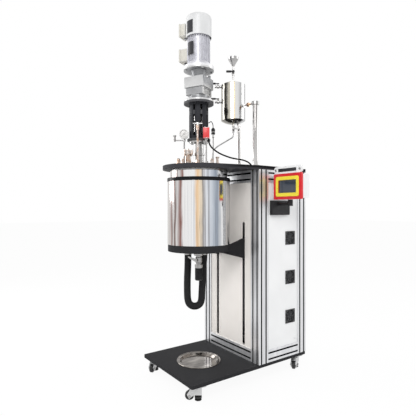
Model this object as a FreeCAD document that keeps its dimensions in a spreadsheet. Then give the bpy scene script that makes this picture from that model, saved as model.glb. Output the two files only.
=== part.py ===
"""High-pressure stirred reactor on a wheeled base, with a lift for its jacketed vessel.

Millimetres. +X is the side with the fans and the operating panel, -Y is the side the vessel
stands on, +Z is up. Plan positions in the functions are measured from the vessel's axis, and
heights from the floor. Each piece is then moved so that the origin lies on the floor under the
middle of the whole machine.
"""
import FreeCAD, Part
import math
import os
import Sketcher
from FreeCAD import Placement, Rotation, Vector

# Driving dimensions
SIZES = {
    # Base plate and drip tray
    "base_wide": 600, "base_front": 249, "base_back": 700, "base_thick": 20, "base_top": 107,
    "base_corner": 6, "tray_rim": 144.5, "tray_radius": 128, "tray_floor": 112, "tray_deep": 14,
    "tray_sheet": 2, "fit_gap": 0.3, "running_gap": 0.05,
    # Levelling casters
    "caster_inset": 40, "caster_front": 68, "caster_back": 60, "caster_plate": 72,
    "caster_plate_thick": 6, "caster_bolt_pitch": 54, "caster_bolt": 4, "caster_bolt_head": 6.5,
    "caster_housing_wide": 40, "caster_boss": 21, "caster_block_low": 34, "swivel_gap": 0.5,
    "wheel_offset": 50, "wheel_radius": 26, "wheel_wide": 20, "wheel_lift": 2, "wheel_slot": 24,
    "wheel_eye": 15, "wheel_pin": 4, "foot_radius": 20, "foot_thick": 8, "foot_stem": 6,
    "thumb_radius": 21, "thumb_low": 12, "thumb_thick": 11,
    # Cabinet frame and panels
    "cabinet_front": 260, "profile_side": 80, "rail_thick": 40, "slot_pitch": 40,
    "slot_mouth": 8, "slot_inner": 20, "slot_lip": 4.5, "slot_deep": 12.5,
    "panel_thick": 4, "panel_recess": 5, "slit_x": 142, "slit_wide": 26, "slit_low": 195,
    "slit_high": 1014,
    # Cabinet fans
    "fan_side": 90, "fan_deep": 25, "fan_proud": 3, "fan_bore": 42, "fan_y": 548, "fan_high": 905,
    "fan_pitch": 265, "fan_hub": 18, "fan_hub_deep": 14, "fan_blade": 2, "fan_tip": 40,
    "fan_strut": 3, "fan_shaft": 2.5, "guard_wire": 1.6,
    # Top plate and lid
    "plate_low": 1354, "plate_thick": 25, "plate_ring": 236, "lid_hub": 150, "lid_rise": 10,
    "lid_radius": 188, "lid_flange": 10, "spigot_radius": 154, "spigot_deep": 14,
    "lid_bolt_circle": 170, "lid_bolt": 5, "lid_bolt_head": 8, "lid_bolt_high": 9,
    "lid_bolt_count": 12, "seal_radius": 158, "seal_thick": 6, "seal_deep": 3, "bolt_web": 1.5,
    # Vessel, jacket and carrier
    "pot_radius": 160, "pot_wall": 6, "pot_dish": 960, "pot_bottom": 915, "pot_flange_low": 1300,
    "nozzle_bore": 12, "nozzle_radius": 18, "jacket_radius": 205, "jacket_sheet": 3,
    "jacket_low": 875, "jacket_high": 1277, "jacket_seat": 186, "jacket_dish": 812,
    "dish_crown": 310,
    "ring_radius": 207, "carrier_radius": 202, "carrier_wall": 14, "carrier_low": 828,
    "arm_thick": 16, "arm_low": 774, "arm_high": 903, "arm_start": 50,
    # Lift guides inside the cabinet
    "guide_y": 345, "guide_x": 90, "guide_rod": 10, "guide_bar": 20, "screw_rod": 8,
    "bearing_radius": 19, "carriage_thick": 12, "carriage_y": 304,
    # Discharge valve and hose
    "clamp_radius": 32, "clamp_thick": 14, "valve_radius": 22, "valve_low": 736,
    "valve_end": 26, "valve_end_thick": 18, "sleeve_radius": 24, "sleeve_low": 632,
    "port_radius": 15, "hose_radius": 23.5, "hose_top": 806,
    # Drive
    "drive_turn": 26.7, "neck_flange": 58, "neck_radius": 32, "neck_top": 62,
    "lantern_low": 1546, "lantern_high": 1800, "lantern_radius": 63, "lantern_wall": 7,
    "lantern_foot": 76, "lantern_foot_thick": 12, "lantern_head": 98, "lantern_head_thick": 15,
    "window_wide": 15, "window_low": 1575, "window_split": 1713, "window_gap": 27,
    "window_high": 1779, "window_count": 8, "box_neck": 64, "box_neck_low": 1812,
    "box_flange_thick": 12, "box_low": 1841, "box_mid": 1888, "box_high": 1955, "box_wide": 145,
    "box_narrow": 128, "adaptor_low": 41, "adaptor_high": 52, "motor_flange": 100,
    "motor_flange_low": 2016, "motor_flange_thick": 15, "motor_low": 2053, "motor_core": 66,
    "motor_fin": 75, "fin_thick": 2.6, "fin_count": 30, "cowl_low": 2222, "cowl_high": 2365,
    "cowl_radius": 84, "cowl_sheet": 2, "cowl_round": 20, "terminal_reach": 130,
    "terminal_wide": 80, "terminal_low": 2076, "terminal_high": 2161, "vent_box_low": 2244,
    "vent_box_high": 2330,
    # Stirrer
    "shaft_radius": 12, "coupling_radius": 36, "coupling_low": 1600, "coupling_high": 1735,
    "anchor_radius": 120, "anchor_low": 975, "anchor_high": 1180, "anchor_bar": 12,
    # Fittings on the lid
    "handle_wide": 61, "handle_high": 1640, "gauge_radius": 28.5, "gauge_high": 1587,
    "head_radius": 20, "head_low": 1549, "head_high": 1617, "plug_low": 1609, "plug_high": 1653,
    "bolted_port": 33, "port_high": 1478,
    # Dosing tank
    "tank_x": 52, "tank_y": 250, "tank_radius": 82, "tank_low": 1703, "tank_high": 1945,
    "tank_dome": 24, "tank_sheet": 2, "funnel_radius": 36, "funnel_high": 2137,
    "funnel_low": 2078, "funnel_valve": 2035, "outlet_valve": 1642, "tube_radius": 4,
    "cable_radius": 4, "plug_cable_radius": 2.5, "post_y": 290, "post_x": 68,
    "post_radius": 15, "tall_post_x": 230, "tall_post": 17, "tall_post_high": 1800,
    # Operating panel
    "screen_gap": 20, "screen_wide": 235, "screen_low": 1161, "screen_high": 1323,
    "screen_y": 367, "screen_frame": 12, "screen_case": 66, "bezel_wide": 190,
    "bezel_high": 125, "display_wide": 150, "display_high": 81, "title_high": 46,
    "bracket_thick": 24, "bracket_start": 358, "bracket_end": 520, "bracket_low": 1061,
    "bracket_high": 1156, "arm_y": 415, "arm_high_line": 1134, "swivel_in": 100,
    "swivel_radius": 16,
}


class Size:
    """A length with the sheet expression that gives it."""

    def __init__(self, text, value):
        self.text = text
        self.value = value

    def joined(self, sign, other, value):
        return Size("(%s %s %s)" % (self.text, sign, sized(other).text), value)

    def __add__(self, other):
        return self.joined("+", other, self.value + sized(other).value)

    def __sub__(self, other):
        return self.joined("-", other, self.value - sized(other).value)

    def __mul__(self, other):
        return self.joined("*", other, self.value * sized(other).value)

    def __truediv__(self, other):
        return self.joined("/", other, self.value / sized(other).value)

    def __rsub__(self, other):
        return sized(other) - self

    def root(self):
        return Size("sqrt(%s)" % self.text, math.sqrt(self.value))

    def __neg__(self):
        return Size("(0 - %s)" % self.text, -self.value)

    __radd__ = __add__
    __rmul__ = __mul__


def sized(number):
    """The number as a Size, so that plain numbers and sheet sizes mix."""
    if isinstance(number, Size):
        return number
    return Size("(%r)" % float(number), float(number))


class Sheet:
    """The sizes of the sheet, each as an attribute."""

    def __init__(self, sheet):
        for row, (alias, value) in enumerate(SIZES.items(), 1):
            address = "A%d" % row
            sheet.set(address, str(value))
            sheet.setAlias(address, alias)
            setattr(self, alias, Size("Sizes." + alias, float(value)))


doc = FreeCAD.newDocument("reactor")
cells = doc.addObject("Spreadsheet::Sheet", "Sizes")
s = Sheet(cells)
doc.recompute()

# Places that several pieces share, worked out from the sizes
half = s.base_wide / 2
screen_left = half + s.screen_gap
screen_right = screen_left + s.screen_wide
swivel_x = screen_left + s.swivel_in
axis_x = (half - screen_right) / 2
axis_y = (s.base_front - s.base_back) / 2
base_low = s.base_top - s.base_thick
plate_high = s.plate_low + s.plate_thick
lid_top = plate_high + s.lid_rise
lid_low = s.plate_low - s.lid_flange
motor_flange_high = s.motor_flange_low + s.motor_flange_thick
cabinet_deep = s.base_back - s.cabinet_front
nodes = {}

# Routes of the cables that lie free, and of the thin dosing tube
SENSOR_ROUTE = [(106, 3, 1548.5), (106, 5, 1527), (104, 19, 1503), (104, 45, 1484),
                (106, 86, 1463), (111, 132, 1449), (120, 178, 1437), (130, 223, 1432),
                (141, 262, 1428), (152, 295, 1416), (159, 314, 1401), (161, 321, 1389.3)]
PLUG_ROUTE = [(18.8, 60.7, 1672), (22.3, 71.9, 1672), (12, 84, 1685), (-6, 108, 1691),
              (-19, 128, 1681), (-21.5, 133, 1665), (-21.4, 133.3, 1653.2)]
TUBE_ROUTE = [(52, 250, 1625), (52, 250, 1592), (33, 132, 1522), (25.1, 95.2, 1490),
              (25.1, 95.2, 1429)]

# The fittings are set out across the front right corner, which faces this way
CORNER_HEADING = 54.4


def bind(thing, path, length):
    """Bind a property to an expression of the sheet."""
    thing.setExpression(path, sized(length).text)


def move(thing, x=0, y=0, z=0, turn=None, axis=Vector(0, 0, 1)):
    """Place a piece, turned about an axis through its own origin."""
    if turn is not None:
        thing.Placement = Placement(Vector(), Rotation(axis, sized(turn).value))
        bind(thing, "Placement.Rotation.Angle", turn)
    bind(thing, "Placement.Base.x", x)
    bind(thing, "Placement.Base.y", y)
    bind(thing, "Placement.Base.z", z)
    return thing


def node(thing, label, x=0, y=0, z=0, turn=None, axis=Vector(0, 0, 1)):
    """Name a finished piece and set it into the machine's frame."""
    thing.Label = label
    nodes[label] = move(thing, axis_x + x, axis_y + y, z, turn, axis)
    return thing


def cylinder(radius, height, x=0, y=0, z=0, tilt=None):
    """A cylinder that stands up, or lies along the direction named by tilt."""
    thing = doc.addObject("Part::Cylinder", "Cylinder")
    bind(thing, "Radius", radius)
    bind(thing, "Height", height)
    turns = {"x": (Vector(0, 1, 0), 90), "-x": (Vector(0, 1, 0), -90),
             "y": (Vector(1, 0, 0), -90), "-y": (Vector(1, 0, 0), 90), None: (Vector(0, 0, 1), 0)}
    axis, angle = turns[tilt]
    thing.Placement = Placement(Vector(), Rotation(axis, angle))
    return move(thing, x, y, z)


def block(x_low, x_high, y_low, y_high, z_low, z_high):
    """A box between three pairs of planes."""
    thing = doc.addObject("Part::Box", "Block")
    bind(thing, "Length", sized(x_high) - x_low)
    bind(thing, "Width", sized(y_high) - y_low)
    bind(thing, "Height", sized(z_high) - z_low)
    return move(thing, x_low, y_low, z_low)


def fuse(*things):
    thing = doc.addObject("Part::MultiFuse", "Fuse")
    thing.Shapes = list(things)
    return thing


def cut(base, *tools):
    thing = doc.addObject("Part::Cut", "Cut")
    thing.Base = base
    thing.Tool = tools[0] if len(tools) == 1 else fuse(*tools)
    return thing


def group(*things):
    """Separate solids that share one name."""
    thing = doc.addObject("Part::Compound", "Group")
    thing.Links = list(things)
    return thing


def new_body(name):
    return doc.addObject("PartDesign::Body", name)


def new_sketch(body, plane, offset=0):
    """A sketch on one of the body's own planes, moved along that plane's normal."""
    sketch = body.newObject("Sketcher::SketchObject", body.Name + "Sketch")
    faces = [f for f in body.Origin.OriginFeatures if f.Role == plane + "_Plane"]
    sketch.AttachmentSupport = [(faces[0], "")]
    sketch.MapMode = "FlatFace"
    bind(sketch, "AttachmentOffset.Base.z", offset)
    return sketch


def pin_point(sketch, geometry, point, x, y):
    """Dimension a point of the sketch from its origin."""
    for kind, length in (("DistanceX", x), ("DistanceY", y)):
        length = sized(length)
        constraint = Sketcher.Constraint(kind, -1, 1, geometry, point, length.value)
        index = sketch.addConstraint(constraint)
        sketch.setExpression("Constraints[%d]" % index, length.text)


def outline(sketch, points):
    """A closed outline. A third item on a point is the radius of the arc to the next point,
    positive where the arc runs counter-clockwise."""
    spots = [tuple(sized(v) for v in point) for point in points]
    ends = []
    for i, spot in enumerate(spots):
        here = Vector(spot[0].value, spot[1].value, 0)
        following = spots[(i + 1) % len(spots)]
        there = Vector(following[0].value, following[1].value, 0)
        if len(spot) == 2:
            index = sketch.addGeometry(Part.LineSegment(here, there), False)
            ends.append((index, 1, 2))
            continue
        radius = spot[2].value
        chord = there - here
        reach = math.sqrt(max(radius * radius - chord.Length ** 2 / 4, 0))
        side = Vector(-chord.y, chord.x, 0).normalize() * math.copysign(reach, radius)
        middle = (here + there) / 2 + side
        first, last = (here, there) if radius > 0 else (there, here)
        angles = [math.atan2(p.y - middle.y, p.x - middle.x) for p in (first, last)]
        circle = Part.Circle(middle, Vector(0, 0, 1), abs(radius))
        index = sketch.addGeometry(Part.ArcOfCircle(circle, *angles), False)
        ends.append((index, 1, 2) if radius > 0 else (index, 2, 1))
        size = spot[2] if radius > 0 else -spot[2]
        bound = sketch.addConstraint(Sketcher.Constraint("Radius", index, size.value))
        sketch.setExpression("Constraints[%d]" % bound, size.text)
    for i, (index, start, end) in enumerate(ends):
        after, after_start, after_end = ends[(i + 1) % len(ends)]
        sketch.addConstraint(Sketcher.Constraint("Coincident", index, end, after, after_start))
        pin_point(sketch, index, start, spots[i][0], spots[i][1])
    return sketch


def ring(sketch, radius, x=0, y=0):
    """A circle in a sketch."""
    x, y, radius = sized(x), sized(y), sized(radius)
    circle = Part.Circle(Vector(x.value, y.value, 0), Vector(0, 0, 1), radius.value)
    index = sketch.addGeometry(circle, False)
    bound = sketch.addConstraint(Sketcher.Constraint("Radius", index, radius.value))
    sketch.setExpression("Constraints[%d]" % bound, radius.text)
    pin_point(sketch, index, 3, x, y)
    return sketch


def pad(body, sketch, length, both_ways=False):
    feature = body.newObject("PartDesign::Pad", body.Name + "Pad")
    feature.Profile = sketch
    bind(feature, "Length", length)
    feature.Midplane = both_ways
    return feature


def pocket(body, sketch, length, both_ways=False, back=False):
    """Cut a sketch's outline out of the body. It has to take something away."""
    doc.recompute()
    before = body.Shape.Volume
    feature = body.newObject("PartDesign::Pocket", body.Name + "Pocket")
    feature.Profile = sketch
    bind(feature, "Length", length)
    feature.Midplane = both_ways
    feature.Reversed = back
    doc.recompute()
    if body.Shape.Volume > before - 1:
        raise ValueError(body.Name + " pocket cuts nothing")
    return feature


def revolve(body, points):
    """Turn an outline of (radius, height) points about the body's Z axis."""
    sketch = outline(new_sketch(body, "XZ"), points)
    feature = body.newObject("PartDesign::Revolution", body.Name + "Turned")
    feature.Profile = sketch
    feature.ReferenceAxis = (sketch, ["V_Axis"])
    feature.Angle = 360
    return feature


def turned(name, points):
    """A body that is one turned outline."""
    body = new_body(name)
    revolve(body, points)
    return body


def around(body, feature, count):
    """Repeat a feature evenly about the body's Z axis."""
    pattern = body.newObject("PartDesign::PolarPattern", body.Name + "Pattern")
    pattern.Originals = [feature]
    pattern.Axis = (origin_part(body, "Z_Axis"), [""])
    pattern.Angle = 360
    bind(pattern, "Occurrences", count)
    body.Tip = pattern
    return pattern


def origin_part(body, role):
    return [f for f in body.Origin.OriginFeatures if f.Role == role][0]


def rows(body, feature, directions):
    """Repeat a feature along several of the body's axes: (axis, length, count) each."""
    steps = []
    for role, length, count in directions:
        step = body.newObject("PartDesign::LinearPattern", body.Name + "Row")
        step.Direction = (origin_part(body, role), [""])
        bind(step, "Length", length)
        step.Occurrences = count
        steps.append(step)
    pattern = body.newObject("PartDesign::MultiTransform", body.Name + "Rows")
    pattern.Originals = [feature]
    pattern.Transformations = steps
    body.Tip = pattern
    return pattern


def plan(across, toward):
    """Plan position of a point given across the machine's front right corner, positive to the
    right, and towards that corner."""
    heading = math.radians(CORNER_HEADING)
    return (across * math.cos(heading) + toward * math.sin(heading),
            across * math.sin(heading) - toward * math.cos(heading))


# Base plate and drip tray

def make_base_plate():
    """Plate with bevelled corners and the round opening that the drip tray hangs in."""
    body = new_body("BasePlate")
    front, back, corner = -s.base_front, s.base_back, s.base_corner
    sketch = outline(new_sketch(body, "XY", base_low), [
        (-half + corner, front), (half - corner, front), (half, front + corner),
        (half, back - corner), (half - corner, back), (-half + corner, back),
        (-half, back - corner), (-half, front + corner)])
    ring(sketch, s.tray_radius + s.fit_gap)
    pad(body, sketch, s.base_thick)
    node(body, "base_plate")


def make_drip_tray():
    """Pressed dish with a rolled rim that rests on the base plate."""
    sheet = s.tray_sheet
    floor = s.base_top - s.tray_deep
    slope = s.tray_radius - s.tray_floor
    tray = turned("DripTray", [
        (0, floor), (s.tray_floor, floor), (s.tray_floor + slope / 2, floor + slope / 4),
        (s.tray_radius, s.base_top), (s.tray_rim - sheet, s.base_top), (s.tray_rim, s.base_top),
        (s.tray_rim, s.base_top + sheet), (s.tray_rim - sheet, s.base_top + 2 * sheet),
        (s.tray_rim - 3 * sheet, s.base_top + 2 * sheet),
        (s.tray_rim - 4 * sheet, s.base_top + sheet), (s.tray_radius - sheet, s.base_top + sheet),
        (s.tray_floor, floor + sheet), (0, floor + sheet)])
    node(tray, "drip_tray")


# Levelling casters

plate_under = base_low - s.caster_plate_thick
swivel_top = plate_under - s.swivel_gap
axle_high = s.wheel_radius + s.wheel_lift
caster_side = half - s.caster_inset
CASTERS = {
    "front_right": (caster_side, -s.base_front + s.caster_front, -125),
    "front_left": (-caster_side, -s.base_front + s.caster_front, -55),
    "back_right": (caster_side, s.base_back - s.caster_back, -60),
    "back_left": (-caster_side, s.base_back - s.caster_back, -60),
}


def make_caster_plates():
    """Four square plates under the base, each with four hexagon-headed bolts."""
    plates = []
    side = s.caster_plate / 2
    reach = s.caster_bolt_pitch / 2
    for x, y, _ in CASTERS.values():
        plate = block(x - side, x + side, y - side, y + side, plate_under, base_low)
        bore = cylinder(s.foot_stem + 1, s.caster_plate_thick, x, y, plate_under)
        heads = []
        for across in (-1, 1):
            for along in (-1, 1):
                head = doc.addObject("Part::Prism", "BoltHead")
                head.Polygon = 6
                bind(head, "Circumradius", s.caster_bolt_head)
                bind(head, "Height", s.caster_bolt)
                heads.append(move(head, x + across * reach, y + along * reach,
                                  plate_under - s.caster_bolt))
        plates.append(fuse(cut(plate, bore), *heads))
    node(group(*plates), "caster_plates")


def make_caster(name, x, y, turn):
    """Swivel housing with a slot for the wheel, the wheel, and the screwed levelling foot."""
    low, top, eye = s.caster_block_low, swivel_top, s.wheel_eye
    housing = new_body("Housing_" + name)
    side = outline(new_sketch(housing, "XZ"), [
        (-s.caster_boss, low), (-s.caster_boss, top - 8), (-s.caster_boss + 8, top),
        (s.caster_boss - 2, top), (s.caster_boss - 2, top - 6), (s.wheel_offset - 10, top - 6),
        (s.wheel_offset + eye, axle_high + 10),
        (s.wheel_offset + 2, axle_high - eye), (s.wheel_offset - eye, axle_high),
        (s.caster_boss, low)])
    pad(housing, side, s.caster_housing_wide, True)
    bore = ring(new_sketch(housing, "XY", top), s.foot_stem + s.running_gap)
    pocket(housing, bore, top - low)
    slot_start = s.wheel_offset - s.wheel_radius - 2
    slot_end = s.wheel_offset + s.wheel_radius
    wheel_room = outline(new_sketch(housing, "XY", axle_high + s.wheel_radius + 3), [
        (slot_start, -s.wheel_slot / 2), (slot_end, -s.wheel_slot / 2),
        (slot_end, s.wheel_slot / 2), (slot_start, s.wheel_slot / 2)])
    pocket(housing, wheel_room, top)
    pin = cylinder(s.wheel_pin, s.caster_housing_wide, s.wheel_offset, s.caster_housing_wide / 2,
                   axle_high, "-y")
    node(fuse(housing, pin), "caster_%s_housing" % name, x, y, 0, turn)

    wheel = turned("Wheel_" + name, [
        (s.wheel_pin + s.running_gap, -s.wheel_wide / 2), (s.wheel_radius * 0.55, -s.wheel_wide / 2),
        (s.wheel_radius * 0.6, 3 - s.wheel_wide / 2), (s.wheel_radius * 0.75, 3 - s.wheel_wide / 2),
        (s.wheel_radius * 0.8, -s.wheel_wide / 2), (s.wheel_radius - 3, -s.wheel_wide / 2),
        (s.wheel_radius, 3 - s.wheel_wide / 2), (s.wheel_radius, s.wheel_wide / 2 - 3),
        (s.wheel_radius - 3, s.wheel_wide / 2), (s.wheel_radius * 0.8, s.wheel_wide / 2),
        (s.wheel_radius * 0.75, s.wheel_wide / 2 - 3), (s.wheel_radius * 0.6, s.wheel_wide / 2 - 3),
        (s.wheel_radius * 0.55, s.wheel_wide / 2), (s.wheel_pin + s.running_gap, s.wheel_wide / 2)])
    move(wheel, 0, 0, 0, 90, Vector(1, 0, 0))
    set_wheel = move(group(wheel), s.wheel_offset, 0, axle_high)
    node(group(set_wheel), "caster_%s_wheel" % name, x, y, 0, turn)

    foot = turned("Foot_" + name, [
        (0, 0), (s.foot_radius - 1, 0), (s.foot_radius, 1), (s.foot_radius, s.foot_thick - 3),
        (s.foot_stem + 2, s.foot_thick), (s.foot_stem, s.thumb_low),
        (s.thumb_radius - 2, s.thumb_low), (s.thumb_radius, s.thumb_low + 2),
        (s.thumb_radius, s.thumb_low + s.thumb_thick - 2),
        (s.thumb_radius - 2, s.thumb_low + s.thumb_thick), (s.foot_stem, s.thumb_low + s.thumb_thick),
        (s.foot_stem, top - 2), (0, top - 2)])
    node(foot, "caster_%s_foot" % name, x, y, 0, turn)


# Cabinet frame of slotted profiles

def slotted(across, along, slots_across, slots_along):
    """Outline points of a slotted profile centred on its origin. Each side has its slots'
    mouths at one pitch, with undercut walls behind two lips."""
    def row(count):
        return [s.slot_pitch * (i - (count - 1) / 2) for i in range(count)]

    points = []
    sides = [(across / 2, row(slots_along), lambda u, v: (u, v)),
             (along / 2, row(slots_across), lambda u, v: (-v, u)),
             (across / 2, row(slots_along), lambda u, v: (-u, -v)),
             (along / 2, row(slots_across), lambda u, v: (v, -u))]
    widths = [along, across, along, across]
    mouth, inner = s.slot_mouth / 2, s.slot_inner / 2
    for (reach, middles, turn), width in zip(sides, widths):
        points.append(turn(reach, -(width / 2)))
        for middle in middles:
            points += [turn(reach, middle - mouth), turn(reach - s.slot_lip, middle - mouth),
                       turn(reach - s.slot_lip, middle - inner),
                       turn(reach - s.slot_deep, middle - mouth),
                       turn(reach - s.slot_deep, middle + mouth),
                       turn(reach - s.slot_lip, middle + inner),
                       turn(reach - s.slot_lip, middle + mouth), turn(reach, middle + mouth)]
    return points


def make_frame():
    """Four corner posts, and rails between them at the foot and the head of the cabinet."""
    side, rail = s.profile_side, s.rail_thick
    tall = s.plate_low - s.base_top
    rail_lift = tall - side
    wide, deep = s.base_wide - side, cabinet_deep - side

    posts = new_body("Posts")
    section = outline(new_sketch(posts, "XY"), slotted(side, side, 2, 2))
    rows(posts, pad(posts, section, tall), [("X_Axis", wide, 2), ("Y_Axis", deep, 2)])
    move(posts, -wide / 2, s.cabinet_front + side / 2, s.base_top)

    cross_rails = new_body("CrossRails")
    section = outline(new_sketch(cross_rails, "YZ"), slotted(rail, side, 1, 2))
    rows(cross_rails, pad(cross_rails, section, s.base_wide - 2 * side),
         [("Y_Axis", cabinet_deep - rail, 2), ("Z_Axis", rail_lift, 2)])
    move(cross_rails, side - half, s.cabinet_front + rail / 2, s.base_top + side / 2)

    side_rails = new_body("SideRails")
    section = outline(new_sketch(side_rails, "XZ"), slotted(rail, side, 1, 2))
    rows(side_rails, pad(side_rails, section, cabinet_deep - 2 * side),
         [("X_Axis", s.base_wide - rail, 2), ("Z_Axis", rail_lift, 2)])
    move(side_rails, rail / 2 - half, s.base_back - side, s.base_top + side / 2)
    node(group(posts, cross_rails, side_rails), "frame_profiles")


# Panels of the cabinet

panel_low = s.base_top + s.profile_side
panel_high = s.plate_low - s.profile_side
panel_half = half - s.profile_side
panel_front = s.cabinet_front + s.profile_side
panel_back = s.base_back - s.profile_side
panel_face = half - s.panel_recess


def make_front_panel():
    """Front panel with the two slits that the lift's arms travel in."""
    body = new_body("FrontPanel")
    sketch = outline(new_sketch(body, "XZ", -s.cabinet_front - s.panel_recess), [
        (-panel_half, panel_low), (panel_half, panel_low), (panel_half, panel_high),
        (-panel_half, panel_high)])
    for way in (-1, 1):
        middle, reach, radius = way * s.slit_x, s.slit_wide / 2, s.slit_wide * 0.52
        outline(sketch, [
            (middle + reach, s.slit_low + reach), (middle + reach, s.slit_high - reach, radius),
            (middle, s.slit_high, radius), (middle - reach, s.slit_high - reach),
            (middle - reach, s.slit_low + reach, radius), (middle, s.slit_low, radius)])
    feature = pad(body, sketch, s.panel_thick)
    feature.Reversed = True
    node(body, "front_panel")


def make_side_panels():
    """Right panel with the fans' openings and a quarter-turn lock, and the plain covers."""
    panel = block(panel_face - s.panel_thick, panel_face, panel_front, panel_back, panel_low,
                  panel_high)
    reach = s.fan_side / 2 + s.fit_gap
    holes = []
    for place in range(3):
        high = s.fan_high - place * s.fan_pitch
        holes.append(block(panel_face - s.panel_thick, panel_face, s.fan_y - reach,
                           s.fan_y + reach, high - reach, high + reach))
    lock = cylinder(9, 5, panel_face, panel_back - 22, panel_low + 35, "x")
    key = block(panel_face + 5, panel_face + 11, panel_back - 23, panel_back - 21,
                panel_low + 28, panel_low + 42)
    node(fuse(cut(panel, *holes), lock, key), "right_panel")
    left = block(-panel_face, s.panel_thick - panel_face, panel_front, panel_back, panel_low,
                 panel_high)
    rear_face = s.base_back - s.panel_recess
    rear = block(-panel_half, panel_half, rear_face - s.panel_thick, rear_face, panel_low,
                 panel_high)
    node(group(left, rear), "cover_panels")


# Cooling fans of the cabinet

fan_face = panel_face + s.fan_proud


def make_fan_frames():
    """Three square frames, each with struts that carry the rotor and a guard of round wire."""
    frames = []
    side = s.fan_side / 2
    inner = fan_face - s.fan_deep
    for place in range(3):
        high = s.fan_high - place * s.fan_pitch
        frame = block(inner, fan_face, s.fan_y - side, s.fan_y + side, high - side, high + side)
        bore = cylinder(s.fan_bore, s.fan_deep, inner, s.fan_y, high, "x")
        hub = cylinder(s.fan_hub, s.fan_strut, inner, s.fan_y, high, "x")
        struts = [
            block(inner, inner + s.fan_strut, s.fan_y - side + 1, s.fan_y + side - 1,
                  high - s.fan_strut, high + s.fan_strut),
            block(inner, inner + s.fan_strut, s.fan_y - s.fan_strut, s.fan_y + s.fan_strut,
                  high - side + 1, high + side - 1)]
        bearing = cylinder(s.fan_shaft + s.running_gap, s.fan_strut, inner, s.fan_y, high, "x")
        guard = []
        for share in (0.3, 0.55, 0.8):
            outer = cylinder(s.fan_bore * share, s.guard_wire, fan_face - s.guard_wire, s.fan_y,
                             high, "x")
            inside = cylinder(s.fan_bore * share - 2 * s.guard_wire, s.guard_wire,
                              fan_face - s.guard_wire, s.fan_y, high, "x")
            guard.append(cut(outer, inside))
        wire = s.guard_wire
        guard.append(block(fan_face - 2 * wire, fan_face - wire / 2, s.fan_y - s.fan_bore - 1,
                           s.fan_y + s.fan_bore + 1, high - wire, high + wire))
        guard.append(block(fan_face - 2 * wire, fan_face - wire / 2, s.fan_y - wire,
                           s.fan_y + wire, high - s.fan_bore - 1, high + s.fan_bore + 1))
        frames.append(fuse(cut(fuse(cut(frame, bore), hub, *struts), bearing), *guard))
    node(group(*frames), "fan_frames")


def make_fan_rotor(label, high):
    """Hub, shaft and seven pitched blades."""
    inner = fan_face - s.fan_deep + s.fan_strut + 1
    blade_deep = s.fan_hub_deep - 2
    parts = [cylinder(s.fan_hub, s.fan_hub_deep, 0, 0, 0, "x"),
             cylinder(s.fan_shaft, s.fan_strut + 1, -s.fan_strut - 1, 0, 0, "x")]
    blade = new_body(label + "_blades")
    sketch = outline(new_sketch(blade, "XY", s.fan_hub - 1), [
        (-s.fan_blade, -blade_deep / 2), (s.fan_blade * 2, -blade_deep / 2),
        (s.fan_blade, blade_deep / 2), (-s.fan_blade * 2, blade_deep / 2)])
    pad(blade, sketch, s.fan_tip - s.fan_hub)
    for place in range(7):
        copy = group(blade)
        copy.Placement = Placement(Vector(), Rotation(Vector(0, 0, 1), 90))
        ray = group(copy)
        ray.Placement = Placement(Vector(), Rotation(Vector(1, 0, 0), place * 360 / 7))
        parts.append(move(group(ray), s.fan_hub_deep / 2, 0, 0))
    node(fuse(*parts), label, inner, s.fan_y, high)


# Top plate and lid

def make_top_plate():
    """Plate that covers the cabinet and reaches forward, narrowing to a ring round the lid."""
    body = new_body("TopPlate")
    sketch = new_sketch(body, "XY", s.plate_low)
    wide, front, back = half.value, s.cabinet_front.value, s.base_back.value
    radius = s.plate_ring.value
    lean = math.atan2(front, wide) - math.acos(radius / math.hypot(wide, front))
    touch = Vector(radius * math.cos(lean), radius * math.sin(lean), 0)
    corners = [Vector(-wide, front, 0), Vector(-wide, back, 0), Vector(wide, back, 0),
               Vector(wide, front, 0), touch]
    lines = [sketch.addGeometry(Part.LineSegment(corners[i], corners[i + 1]), False)
             for i in range(4)]
    lines.append(sketch.addGeometry(
        Part.LineSegment(Vector(-touch.x, touch.y, 0), corners[0]), False))
    circle = Part.Circle(Vector(), Vector(0, 0, 1), radius)
    nose = sketch.addGeometry(
        Part.ArcOfCircle(circle, math.pi - lean, 2 * math.pi + lean), False)
    for first, second in ((0, 1), (1, 2), (2, 3), (4, 0)):
        sketch.addConstraint(
            Sketcher.Constraint("Coincident", lines[first], 2, lines[second], 1))
    sketch.addConstraint(Sketcher.Constraint("Tangent", lines[3], 2, nose, 2))
    sketch.addConstraint(Sketcher.Constraint("Tangent", lines[4], 1, nose, 1))
    places = [(0, 1, -half, s.cabinet_front), (1, 1, -half, s.base_back),
              (2, 1, half, s.base_back), (3, 1, half, s.cabinet_front)]
    for line, point, x, y in places:
        pin_point(sketch, lines[line], point, x, y)
    pin_point(sketch, nose, 3, 0, 0)
    bound = sketch.addConstraint(Sketcher.Constraint("Radius", nose, radius))
    sketch.setExpression("Constraints[%d]" % bound, s.plate_ring.text)
    ring(sketch, s.lid_hub + s.fit_gap)
    pad(body, sketch, s.plate_thick)
    bolt = ring(new_sketch(body, "XY", plate_high), s.lid_bolt + s.fit_gap, s.lid_bolt_circle)
    around(body, pocket(body, bolt, s.plate_thick), s.lid_bolt_count)
    gland = cylinder(9, 8, SENSOR_ROUTE[-1][0], SENSOR_ROUTE[-1][1], plate_high)
    node(fuse(body, gland), "top_plate")


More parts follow.
